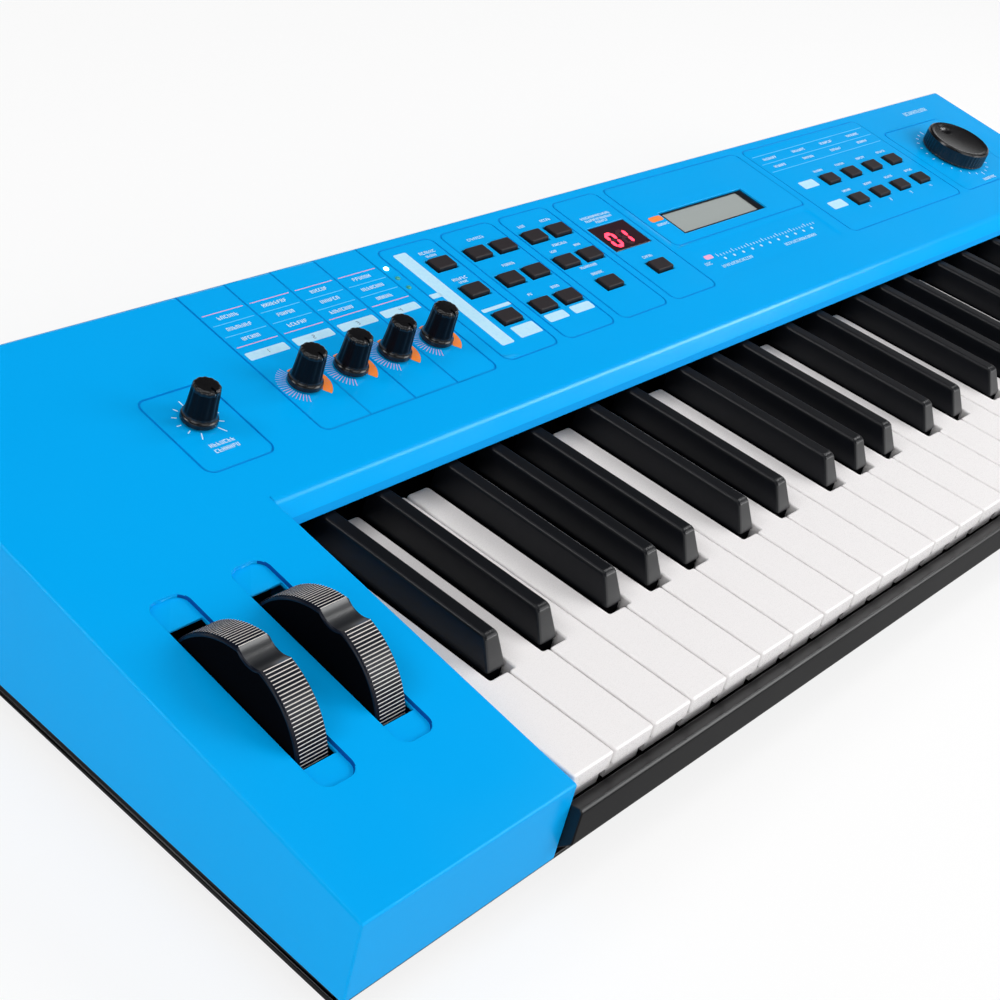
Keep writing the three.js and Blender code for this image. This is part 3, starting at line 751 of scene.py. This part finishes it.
def wheel_points():
    """The wheel's side outline from the front of the rim to the rear, as (angle, radius) pairs.

    Angles run from the thumb notch, which is smooth; the rest of the rim is ribbed.
    """
    side = []
    for k in range(int((RIM_END - NOTCH_HALF) / RIB_PITCH)):
        for share, sunk in ((0.0, 0), (0.24, 0), (0.4, 1), (0.84, 1)):
            side.append((NOTCH_HALF + (k + share) * RIB_PITCH, WHEEL_RADIUS - RIB_DEPTH * sunk))
    side.append((RIM_END, WHEEL_RADIUS))
    start = math.atan2(MEET_Z - NOTCH_CENTRE, MEET_Y)
    notch = []
    steps = 16
    for k in range(1, steps):
        a = start + (-math.pi - 2 * start) * k / steps
        y, z = NOTCH_RADIUS * math.cos(a), NOTCH_CENTRE + NOTCH_RADIUS * math.sin(a)
        notch.append((math.atan2(y, z), math.hypot(y, z)))
    return list(reversed(side)) + notch + [(-a, r) for a, r in side]


def wheel_mesh(bm):
    """A rim with smooth rounded lips, on two axle pins along X."""
    lip, tilt = 0.9, math.atan(SLOPE)
    # From a side in to the ribs: distance from the middle, and the lip's drop below the rim.
    stations = [(WHEEL_HALF, lip + RIB_DEPTH), (WHEEL_HALF - 0.07, 0.55 * lip + RIB_DEPTH)]
    stations += [(WHEEL_HALF - 0.35, 0.15 * lip + RIB_DEPTH), (WHEEL_HALF - lip, RIB_DEPTH)]
    stations.append((WHEEL_HALF - lip - 0.06, None))
    rings = []
    for x, drop in [(-x, drop) for x, drop in stations] + stations[::-1]:
        points = []
        for angle, r in wheel_points():
            if drop is not None:
                ribbed = r > WHEEL_RADIUS - RIB_DEPTH - 0.01
                r = (WHEEL_RADIUS if ribbed else r + RIB_DEPTH) - drop
            a = angle - tilt
            points.append(Vector((x, r * math.sin(a), r * math.cos(a))))
        rings.append(points)
    join_rings(bm, rings)
    for side in (-1, 1):
        turn = Matrix.Rotation(side * math.pi / 2, 4, "Y")
        pin = as_mesh(fresh(lathe, [(3, 0), (3, 3.4), (2.6, 3.8)], 24))
        add_mesh(bm, pin, Matrix.Translation((side * (WHEEL_HALF - 0.1), 0, 0)) @ turn)
    for face in bm.faces:
        x, y, z = face.calc_center_median()
        if abs(x) > WHEEL_HALF - 0.01:
            face.material_index = 1
        # The lips keep slot 0, black with the painted navy reflection.
        elif abs(x) > WHEEL_HALF - lip:
            face.material_index = 0
        elif abs(math.atan2(y, z) + tilt) < NOTCH_HALF:
            face.material_index = 3
        # Rib crests get slot 2, painted light grey as highlights.
        elif math.hypot(y, z) > WHEEL_RADIUS - 0.02:
            face.material_index = 2


def build_wheels():
    finishes = [wheel_black, shade_black, wheel_rib_highlight, wheel_notch]
    for name in ("pitch_wheel", "modulation_wheel"):
        joint = next(j for j in frame["joints"] if j["child"] == name)
        place = Matrix.Translation(Vector(joint["pos_m"])) @ ROW
        show(f"{name}_rim", fresh(wheel_mesh), place, finishes, name, 28, name)


# ---- Knobs, dial and buttons ----
KNOB_HEIGHT = 17.8
KNOBS = ["volume_knob", "knob_a", "knob_b", "knob_c", "knob_d"]


def knob_mesh(bm):
    flutes = 12

    def fluted(a, z):
        if z < 4.4:
            return 1
        depth = 0.055 * min(1, (z - 4.4) / 1.2)
        return 1 - depth * (0.5 - 0.5 * math.cos(flutes * a)) ** 1.4

    height = KNOB_HEIGHT
    profile = [(3.0, -9.0), (3.0, 0.7), (7.4, 0.7), (7.7, 1.0), (7.7, 2.4), (7.5, 2.9)]
    profile += [(7.1, 3.2), (6.75, 3.8), (6.6, 4.6), (6.5, 5.8), (6.2, 10.5), (5.95, height - 2.2)]
    for k in range(1, 7):
        a = math.pi / 2 * k / 6
        profile.append((5.9 - 1.5 * (1 - math.cos(a)), height - 1.6 + 1.5 * math.sin(a)))
    profile += [(2.2, height - 0.02), (0.4, height)]
    lathe(bm, profile, 96, shape=fluted)
    for face in bm.faces:
        face.material_index = int(4.3 < face.calc_center_median().z < height - 2.0)


def build_knobs():
    for name in KNOBS:
        space = PANEL @ Matrix.Translation((*panel_centre(name), 0))
        slot = rectangle(-0.55, 0.55, -7.5, -2.2, 0.5, 3)
        slot_cut = fresh(prism, slot, [(0, 20), (0, KNOB_HEIGHT - 2.0)])
        body = carve(as_mesh(fresh(knob_mesh)), as_mesh(slot_cut))
        show(f"{name}_cap", body, space, [knob_black, knob_wall], name, 30, name)
        line = rectangle(-0.35, 0.35, -5.5, -2.3, 0.3, 3)
        pointer = fresh(prism, line, [(0, KNOB_HEIGHT - 1.5), (0, KNOB_HEIGHT - 2.1)])
        show(f"{name}_pointer", pointer, space, ink_grey, name)


def build_dial():
    low, high = panel_box("data_dial")
    radius = (high.x - low.x) / 2

    def knurled(a, z):
        return 1 - 0.022 * (0.5 - 0.5 * math.cos(48 * a)) if 1.6 < z < 9.2 else 1

    profile = [(3.0, -9.0), (3.0, 0.7), (radius - 0.5, 0.7), (radius, 1.2), (radius, 1.7)]
    profile += [(radius, 9.1), (radius - 0.1, 9.6), (radius - 0.6, 10.5), (radius - 1.5, 11.0)]
    profile += [(radius - 3.0, 10.9), (radius - 4.2, 10.3), (4.0, 9.9), (0.5, 9.85)]
    dish = bmesh.new()
    place = Matrix.Translation((0, radius - 9.5, 17.4))
    bmesh.ops.create_icosphere(dish, subdivisions=3, radius=9, matrix=place)
    body = carve(as_mesh(fresh(lathe, profile, 192, shape=knurled)), as_mesh(dish))
    space = PANEL @ Matrix.Translation((*panel_centre("data_dial"), 0))
    show("data_dial_cap", body, space, knob_black, "data_dial", 30, "data_dial")


CAP_TOP = 1.7


def cap_mesh(bm, x, y, width=14.0, depth=9.2):
    """A button: drafted sides, a soft chamfer all round and a flat top."""
    x0, x1, y0, y1 = x - width / 2, x + width / 2, y - depth / 2, y + depth / 2
    outline = rectangle(x0, x1, y0, y1, 1.3, 3)
    levels = [(1.2, CAP_TOP), (0.95, CAP_TOP - 0.05), (0.55, CAP_TOP - 0.32), (0.35, CAP_TOP - 0.75)]
    prism(bm, outline, levels + [(0.15, 0.2), (0, -1.0), (0, -4.2)])


def show_caps(name, bm, node):
    """Button caps with their flat tops in the matt finish; the sides and chamfer are painted near black as
    shade.
    """
    for face in bm.faces:
        face.material_index = int(face.calc_center_median().z > CAP_TOP - 0.3)
    show(name, bm, PANEL, [button_black, button_top], node, 50, node)


def build_buttons():
    for row in "abc":
        for column in range(1, 6):
            name = f"button_{row}{column}"
            show_caps(f"{name}_cap", fresh(cap_mesh, *panel_centre(name)), name)
    low, high = panel_box("right_button_strip")
    bm = fresh(slab, low.x, high.x, low.y, high.y, -5.2, -4.0, 1.0)
    for x in RIGHT_COLUMNS:
        for y in (205.5, 227.5):
            cap_mesh(bm, x, up(y))
    show_caps("right_button_caps", bm, "right_button_strip")


# ---- Prints ----
FILM = [(0, 0.07), (0, 0.0)]
BAND_INNER = 7.9


def film(bm, points):
    prism(bm, rounded([tuple(p) for p in points], 0), FILM)


def print_box(bm, x0, x1, y0, y1, radius=0.0):
    prism(bm, field(x0, x1, y0, y1, radius), FILM)


def caption(bm, x, y, width, height, seed):
    """A row of small strokes that reads as a word from afar but spells nothing."""
    draw = random.Random(seed)
    stroke = height * 0.17
    pitch = height * 0.86
    letters = max(2, round(width / pitch))
    pitch = width / letters
    for k in range(letters):
        x0 = x - width / 2 + k * pitch
        x1 = x0 + pitch * 0.72
        y0, y1 = y - height / 2, y + height / 2
        bars = [(x0, x0 + stroke, y0, y1), (x1 - stroke, x1, y0, y1), (x0, x1, y1 - stroke, y1)]
        bars += [(x0, x1, y0, y0 + stroke), (x0, x1, y - stroke / 2, y + stroke / 2)]
        drop = draw.sample(range(1, 5), 2)
        for n, bar in enumerate(bars):
            if n not in drop:
                print_box(bm, *bar)


def ticks(bm, x, y, angles, r0, r1, width):
    """Radial strokes round a place; r1 is a length, or gives one for each angle."""
    base = Vector((x, y))
    for a in angles:
        turn = math.radians(a)
        d = Vector((math.cos(turn), math.sin(turn)))
        s = Vector((-d.y, d.x)) * width / 2
        outer = r1(a) if callable(r1) else r1
        quad = [base + d * r0 - s, base + d * outer - s, base + d * outer + s, base + d * r0 + s]
        film(bm, quad)


def crescent(bm, x, y):
    """A band that widens a little clockwise round a knob."""
    base, steps = Vector((x, y)), 36
    inner, outer = [], []
    for k in range(steps + 1):
        share = k / steps
        a = math.radians(100 - 157 * share)
        d = Vector((math.cos(a), math.sin(a)))
        inner.append(base + d * BAND_INNER)
        outer.append(base + d * (9.6 + 2.5 * min(1, 1.6 * share)))
    film(bm, inner + outer[::-1])


def print_knob_columns(line, pink, pale, white, grey):
    for n, (x0, x1) in enumerate(zip(KNOB_COLUMNS, KNOB_COLUMNS[1:])):
        left, right = x0 + 1.8, x1 - (1.6 if n == 3 else 2.0)
        for y in (259.5, 236.5):
            print_box(pink, left, right, y - 0.22, y + 0.22)
        for y in (252, 244):
            print_box(line, left, right, y - 0.2, y + 0.2)
        middle = (left + right) / 2
        for m, y in enumerate((256, 248.3, 240.5)):
            caption(white, middle, y, (11.5, 14.0, 10.0)[(n + m) % 3], 2.1, 10 + 3 * n + m)
        print_box(pale, left + 0.2, right - 0.4, 227.3, 232.2, 0.8)
        numeral(grey, middle, 229.8, n + 1)


def print_knob_rings(orange, violet, pink):
    angles = [108 + 7.4 * k for k in range(19)]
    for name in KNOBS[1:]:
        x, y = panel_centre(name)
        crescent(orange, x, y)
        ticks(violet, x, y, angles[:10], BAND_INNER, 12.3, 0.26)
        ticks(pink, x, y, angles[10:], BAND_INNER, 12.3, 0.26)


# Captions of the switch field: middle, width and height.
SWITCH_CAPTIONS = [
    (187, 260.2, 11, 2.0), (187, 257.3, 7, 1.6), (222, 260.4, 12, 1.8), (255.8, 259.5, 5, 1.8),
    (274.6, 259.5, 8, 1.8), (187, 237.6, 10, 1.9), (187, 235.0, 6, 1.5), (222, 237.4, 9, 1.8),
    (265, 240.6, 11, 1.8), (255.8, 236.6, 5, 1.6), (274.6, 236.6, 5, 1.6), (265, 220.2, 13, 1.8),
    (213, 214.4, 3, 1.6), (231.8, 214.4, 6, 1.7), (265, 214.2, 9, 1.8), (307, 214.2, 8, 1.8),
]


def print_switch_field(pale, white):
    """The long bar with its tab, the blocks round the lowest buttons, and the captions."""
    blocks = [(*BAR, 1.0), (BAR[0] - 6, BAR[0] + 0.5, 230, 233.2, 0.6)]
    blocks += [(177.5, 197, 212.2, 214.4, 0.5), (181, 196.5, 190.6, 198.6, 0.8)]
    blocks += [(205.5, 220, 193.6, 199.0, 1.0), (224.5, 239.5, 193.6, 199.0, 1.0)]
    for block in blocks:
        print_box(pale, *block)
    for n, place in enumerate(SWITCH_CAPTIONS):
        caption(white, *place, 40 + n)
    for n, (y, width) in enumerate(((252.6, 24), (250.0, 22), (247.6, 10))):
        caption(white, 308, y, width, 1.7, 70 + n)


def print_scale(sunk, accent):
    """A ruler with dots under it, in the sunk field."""
    print_box(accent, 341.5, 348.5, 199.2, 202.4, 1.2)
    caption(sunk, 339.5, 196.4, 6, 2.2, 81)
    for k in range(34):
        x = 352 + k * 2.9
        print_box(sunk, x, x + 0.5, 199.0, 201.6 if k % 5 == 0 else 200.5)
        if k % 3 == 1:
            print_box(sunk, x - 0.6, x + 1.0, 195.6, 197.4, 0.7)
    caption(sunk, 360.5, 191.4, 29, 2.1, 82)
    caption(sunk, 423, 191.4, 32, 2.1, 83)


def print_right_field(pale, white, line):
    print_box(pale, 477.5, 493, 203.2, 210, 1.0)
    print_box(pale, 477.5, 493, 225.2, 232, 1.0)
    for n, x in enumerate(RIGHT_COLUMNS):
        caption(white, x, 236.8, 10, 1.8, 90 + n)
        caption(white, x, 214.8, 9, 1.8, 94 + n)
        numeral(white, x, 197.0, n + 1)
    for y in (262, 254, 246):
        print_box(line, 470.5, 597, y - 0.2, y + 0.2)
    for n, x in enumerate((484, 516, 548, 580)):
        caption(white, x, 258, 14, 2.0, 98 + n)
        caption(white, x, 250, 12, 2.0, 102 + n)


def build_prints():
    inks = [ink_white, ink_pale, ink_orange, ink_pink, ink_violet, ink_grey, ink_line]
    names = "white pale orange pink violet grey lines".split()
    white, pale, orange, pink, violet, grey, line = layers = [bmesh.new() for _ in inks]
    # Volume scale: a tick every 30 degrees, the ends and the middle long.
    x, ends = 2.5, (240, 90, -60)
    ticks(white, x, up(206.3), range(-60, 241, 30), 8.4, lambda a: 12.2 if a in ends else 10.5, 0.45)
    caption(white, x, 191.4, 12.5, 2.0, 1)
    caption(white, x, 188.0, 12.5, 2.0, 2)
    print_knob_columns(line, pink, pale, white, grey)
    print_knob_rings(orange, violet, pink)
    print_switch_field(pale, white)
    print_box(orange, 338, 349, 235.5, 239.6, 1.6)
    caption(white, 344, 232.6, 10, 1.8, 80)
    print_right_field(pale, white, line)
    x, y = panel_centre("data_dial")
    ticks(white, x, y, range(0, 360, 15), 23.5, lambda a: 26.5 if a % 90 == 0 else 25.3, 0.5)
    caption(white, x, 187.0, 16, 2.2, 110)
    caption(pale, 670, 262.5, 30, 3.4, 111)
    for name, bm, ink_film in zip(names, layers, inks):
        lifted = Matrix.Translation((0, 0, 0.08 if name == "grey" else 0))
        show(f"print_{name}", bm, PANEL @ lifted, ink_film)
    sunk, accent = bmesh.new(), bmesh.new()
    print_scale(sunk, accent)
    space = PANEL @ Matrix.Translation((0, 0, -SCALE_SUNK))
    show("print_scale", sunk, space, ink_pale)
    show("print_scale_accent", accent, space, ink_pink)


SEGMENTS = {1: "bc", 2: "abged", 3: "abgcd", 4: "fgbc", 0: "abcdef"}


def digit_strokes(x, y, width, height, stroke, slant=0.0):
    """The seven bars of a digit as outlines, keyed a to g."""
    w, h, s = width / 2, height / 2, stroke / 2
    gap = stroke * 0.06

    def bar(cx, cy, half, upright=False):
        flat = [(-half, 0), (s - half, -s), (half - s, -s), (half, 0), (half - s, s), (s - half, s)]
        turned = [(-v, u) for u, v in flat] if upright else flat
        return [(x + cx + u + slant * (cy + v), y + cy + v) for u, v in turned]

    bars = {key: bar(0, cy, w - gap) for key, cy in (("a", h), ("g", 0), ("d", -h))}
    for key, cx, cy in (("b", w, h / 2), ("c", w, -h / 2), ("f", -w, h / 2), ("e", -w, -h / 2)):
        bars[key] = bar(cx, cy, h / 2 - gap, True)
    return bars


def numeral(bm, x, y, digit):
    height = 2.2
    strokes = digit_strokes(x, up(y), height * 0.5, height, height * 0.16)
    for key in SEGMENTS[digit]:
        film(bm, strokes[key])


# ---- Displays and lamps ----
def build_led_display():
    low, high = panel_box("led_display")
    top = -0.25
    outline = rectangle(292.35, 322.65, up(223.5) + 0.35, up(245) - 0.35, 0.8, 3)
    bm = fresh(prism, outline, [(0.3, top), (0.1, top - 0.1), (0, top - 0.3), (0, -6)])
    slab(bm, low.x + 2, high.x - 2, low.y + 1, high.y - 1, -11, -5.8, 0.5)
    show("led_window", bm, PANEL, led_window, node="led_display")
    lit, unlit = bmesh.new(), bmesh.new()
    for x, digit in ((300.4, 0), (309.6, 1)):
        for key, bar in digit_strokes(x, up(232.2), 5.4, 10.4, 2.3, 0.1).items():
            target = lit if key in SEGMENTS[digit] else unlit
            prism(target, rounded(bar, 0), [(0, top + 0.06), (0, top - 0.1)])
    show("led_digits_lit", lit, PANEL, led_red)
    show("led_digits_unlit", unlit, PANEL, led_off)


def build_lcd():
    x0, x1, y0, y1 = 350.35, 429.65, up(221.5) + 0.35, up(241.5) - 0.35
    glass = fresh(prism, rectangle(x0, x1, y0, y1, 0.6, 3), [(0.2, -1.55), (0, -1.75), (0, -6)])
    show("lcd_cell", glass, PANEL, display_grey, node="lcd_module")
    left, right, front, back = 352.5, 424.0, up(223.0), up(240.2)
    bm = bmesh.new()
    for side in ((x0, left, y0, y1), (right, x1, y0, y1), (left, right, y0, front), (left, right, back, y1)):
        slab(bm, *side, -1.6, -1.0)
    show("lcd_frame", bm, PANEL, knob_black)


def build_status_lamps():
    lit, off = bmesh.new(), bmesh.new()
    dome = [(1.3, -1.0), (1.3, 0.05), (1.2, 0.35), (0.9, 0.62), (0.5, 0.78), (0.1, 0.82)]
    for target, y in zip((lit, off, off), LED_Y):
        lathe(target, dome, 24, LED_X, up(y))
    show("status_lamp_lit", lit, PANEL, led_lit)
    show("status_lamps_off", off, PANEL, led_green)


# ---- Rear sockets, feet and screws ----
SOCKETS = [("din", -330), ("din", -296), ("usb", -262), ("jack", -232), ("jack", -206)]
SOCKETS += [("jack", -166), ("jack", -140), ("power", -100)]
# Closed [radius, height] outlines of the black and the metal ring of a socket.
BEZELS = {
    "jack": [(3.4, -6), (5.7, -6), (5.7, 0.2), (7.2, 0.2), (7.2, 1.0), (6.8, 1.4), (3.9, 1.4), (3.4, 0.9)],
    "din": [(6.9, -5), (8.3, -5), (8.3, 0.2), (7.9, 0.6), (6.9, 0.6)],
    "power": [(2.9, -6), (4.5, -6), (4.5, 0.2), (6.2, 0.2), (6.2, 0.8), (5.9, 1.1), (3.2, 1.1), (2.9, 0.8)],
}
SHELLS = {
    "jack": [(3.05, -6), (3.38, -6), (3.38, 1.1), (3.05, 1.1)],
    "din": [(6.3, -5), (6.85, -5), (6.85, 0.45), (6.3, 0.45)],
}
SOCKET_Z = 46


def rear_space(x):
    """Local X to the player's left, Y up, Z out of the rear face."""
    face = case_high.y / MM
    basis = Matrix(((-1, 0, 0), (0, 0, 1), (0, 1, 0))).to_4x4()
    return ROW @ Matrix.Translation((x, face, SOCKET_Z)) @ basis


def hollow_turned(bm, profile, count=40):
    """A ring turned from a closed profile of [radius, height] points."""
    rings = []
    for k in range(count):
        a = 2 * math.pi * k / count
        rings.append([Vector((r * math.cos(a), r * math.sin(a), z)) for r, z in profile])
    join_rings(bm, rings, closed=True)


def build_sockets():
    bezel, shiny, pins = bmesh.new(), bmesh.new(), bmesh.new()

    def add(target, x, make, *details, **more):
        add_mesh(target, as_mesh(fresh(make, *details, **more)), rear_space(x))

    for kind, x in SOCKETS:
        if kind in BEZELS:
            add(bezel, x, hollow_turned, BEZELS[kind])
        if kind in SHELLS:
            add(shiny, x, hollow_turned, SHELLS[kind])
        if kind == "din":
            add(bezel, x, prism, circle(0, 0, 6.1, 40), [(0.2, -1.0), (0, -1.2), (0, -5)])
            for n in range(5):
                a = math.pi * n / 4
                pin = circle(3.9 * math.cos(a), -1.0 + 3.9 * math.sin(a), 0.75, 16)
                add(pins, x, prism, pin, [(0, -0.95), (0, -1.1)])
        elif kind == "usb":
            outline = rectangle(-6.1, 6.1, -5.4, 5.4, 0.8, 3)
            levels = [(0.6, -5), (0, -5), (0, 0.4), (0.3, 0.6), (0.6, 0.4)]
            add(shiny, x, join_rings, [ring(outline, inset, z) for inset, z in levels], closed=True)
            tongue = rectangle(-3.2, 3.2, -1.8, 1.8, 0.4, 2)
            add(bezel, x, prism, tongue, [(0.3, -0.8), (0, -1.1), (0, -5)])
        elif kind == "power":
            add(shiny, x, lathe, [(1.0, -6), (1.0, -1.2), (0.8, -0.8), (0.3, -0.6)], 20)
    for name, bm, material, slot in (
        ("bezels", bezel, knob_black, "circuit_board"),
        ("shells", shiny, nickel, "steel"),
        ("pins", pins, gold, "steel"),
    ):
        show(f"socket_{name}", bm, Matrix.Identity(4), material)


def build_rear_prints():
    """Five small made-up signs over each socket."""
    bars = [(0, 1.3, 0, 0.3), (0, 1.3, 1.5, 1.8), (0, 0.3, 0, 1.8), (1.0, 1.3, 0, 1.8)]
    bm = bmesh.new()
    for n, (_, x) in enumerate(SOCKETS):
        mark = bmesh.new()
        draw = random.Random(200 + n)
        for k in range(5):
            left, foot = -4.5 + 1.9 * k, 11.4
            for x0, x1, y0, y1 in draw.sample(bars, 3):
                prism(mark, rectangle(left + x0, left + x1, foot + y0, foot + y1, 0, 1), [(0, 0.06), (0, 0)])
        add_mesh(bm, as_mesh(mark), rear_space(x))
    show("print_rear", bm, Matrix.Identity(4), ink_white)


def build_feet_and_screws():
    foot = [(0.5, 0.35), (5.5, 0.35), (6.2, 0.0), (8.2, 0.0), (9.0, 0.6), (9.3, 1.4), (9.6, 5.9), (9.6, 6.2)]
    feet, screws = bmesh.new(), bmesh.new()
    for x in (-370, 370):
        for y in (-112, 122):
            lathe(feet, foot, 40, x, y)
    show("rubber_feet", feet, ROW, rubber)
    for x in (-395, -300, -150, 0, 150, 300, 395):
        for y in (-118, 0, 134):
            lathe(screws, [(3.1, 5.7), (3.4, 5.8), (3.4, 6.1)], 24, x, y)
    show("case_screws", screws, ROW, steel)


def build_felt():
    """A felt strip above the white keys' tails, under the fallboard."""
    bm = fresh(slab, 1, WHITE_COUNT * PITCH - 1, 168, 176, 0.5, 2.5, 0.5)
    show("over_felt", bm, KEYBOARD, felt_black)


# ---- Materials of the CAD nodes that stay ----
STAYING = {
    "key_frame": frame_grey, "contact_board": board_green, "wheel_bracket": steel,
    "panel_board": board_green, "main_board": board_green, "jack_board": board_green,
}


def dress_nodes():
    for name, material in STAYING.items():
        node = frame["nodes"][name]
        node.data.materials.clear()
        node.data.materials.append(material)
        bevel = node.modifiers.new("edges", "BEVEL")
        bevel.width = 0.0003
        bevel.segments = 1
        bevel.limit_method = "ANGLE"


# ---- Stage ----
def build_world():
    """White to the camera; to the object a bright horizon under a dimmer dome."""
    world = bpy.data.worlds.new("studio")
    bpy.context.scene.world = world
    world.use_nodes = True
    tree = Tree(world.node_tree)
    place = tree.node("ShaderNodeTexCoord").outputs["Generated"]
    height = tree.node("ShaderNodeSeparateXYZ", {0: place}).outputs["Z"]
    dome = tree.ramp(height, 1.0, 0.06, 0.1, 0.4, "SMOOTHSTEP")
    seen = tree.node("ShaderNodeLightPath").outputs["Is Camera Ray"]
    sky = tree.nodes["Background"].inputs
    tree.feed(sky["Strength"], tree.node("ShaderNodeMix", {0: seen, 2: dome, 3: 1.0}).outputs[0])
    tree.feed(sky["Color"], WHITE)


def build_floor():
    """White paper that fades into the bright backdrop; glossy surfaces mirror it as dim."""
    paper = Finish("paper_floor", (0.94, 0.94, 0.94, 1), 0.8)
    paper.tint(paper.noise(0.8, 2), (0.92, 0.92, 0.92, 1))
    reach = paper.node("ShaderNodeVectorMath", {0: paper.place}, operation="LENGTH")
    fade = paper.ramp(reach.outputs["Value"], 0.5, 1.0, 0.45, 1.2, "SMOOTHSTEP")
    seen = paper.node("ShaderNodeLightPath").outputs
    share = paper.node("ShaderNodeMix", {0: seen["Is Camera Ray"], 2: fade, 3: 0.8}).outputs[0]
    plain = paper.nodes["Principled BSDF"].outputs[0]
    white = paper.node("ShaderNodeEmission").outputs[0]
    dim = paper.node("ShaderNodeEmission", {"Strength": 0.24}).outputs[0]
    lit = paper.node("ShaderNodeMixShader", {0: share, 1: plain, 2: white}).outputs[0]
    whole = paper.node("ShaderNodeMixShader", {0: seen["Is Glossy Ray"], 1: lit, 2: dim}).outputs[0]
    paper.feed(paper.nodes["Material Output"].inputs["Surface"], whole)
    floor = stand("floor", as_mesh(fresh(slab, -9, 9, -9, 9, -0.02, 0.0, 0.5)))
    floor.data.materials.append(paper.material)


def softbox(name, place, width, height, radiance):
    """A rectangular light facing the middle of the object."""
    data = bpy.data.lights.new(name, "AREA")
    data.shape = "RECTANGLE"
    data.size = width
    data.size_y = height
    data.energy = radiance * math.pi * width * height
    obj = stand(name, data)
    obj.location = place
    aim = Vector((0, 0, 0.05)) - Vector(place)
    obj.rotation_euler = aim.to_track_quat("-Z", "Y").to_euler()


def build_stage():
    bpy.context.scene.view_settings.view_transform = "Standard"
    build_world()
    build_floor()
    softbox("key_light", (1.0, -1.1, 0.9), 0.9, 1.0, 5.6)
    softbox("strip_light", (1.02, -0.08, 1.15), 0.16, 0.8, 12.0)
    softbox("top_light", (-0.2, 0.1, 2.0), 1.9, 1.4, 1.7)
    softbox("front_light", (-0.3, -2.0, 1.15), 1.6, 0.8, 2.2)
    softbox("rear_light", (-1.49, 0.84, 1.47), 0.6, 0.5, 9.0)
    softbox("side_light", (-1.7, -0.5, 0.7), 1.0, 0.8, 2.6)


def build_camera():
    """The camera looks down along the keys from beyond the left end, slightly rolled."""
    data = bpy.data.cameras.new("camera")
    data.lens = 62.04
    data.clip_start = 0.02
    camera = stand("camera", data)
    eye = KEYBOARD @ Vector((-398.05, -210.62, 388.16))
    forward = Vector((0.69797, 0.47080, -0.53961)).normalized()
    above = Vector((0.29327, 0.49951, 0.81515))
    right = forward.cross(above).normalized()
    turn = Matrix((right, right.cross(forward), -forward)).transposed().to_4x4()
    camera.matrix_world = Matrix.Translation(eye) @ turn
    bpy.context.scene.camera = camera


build_top_case()
build_bottom_case()
build_keys()
build_wheels()
build_knobs()
build_dial()
build_buttons()
build_prints()
build_led_display()
build_lcd()
build_status_lamps()
build_sockets()
build_rear_prints()
build_feet_and_screws()
build_felt()
dress_nodes()
build_stage()
build_camera()
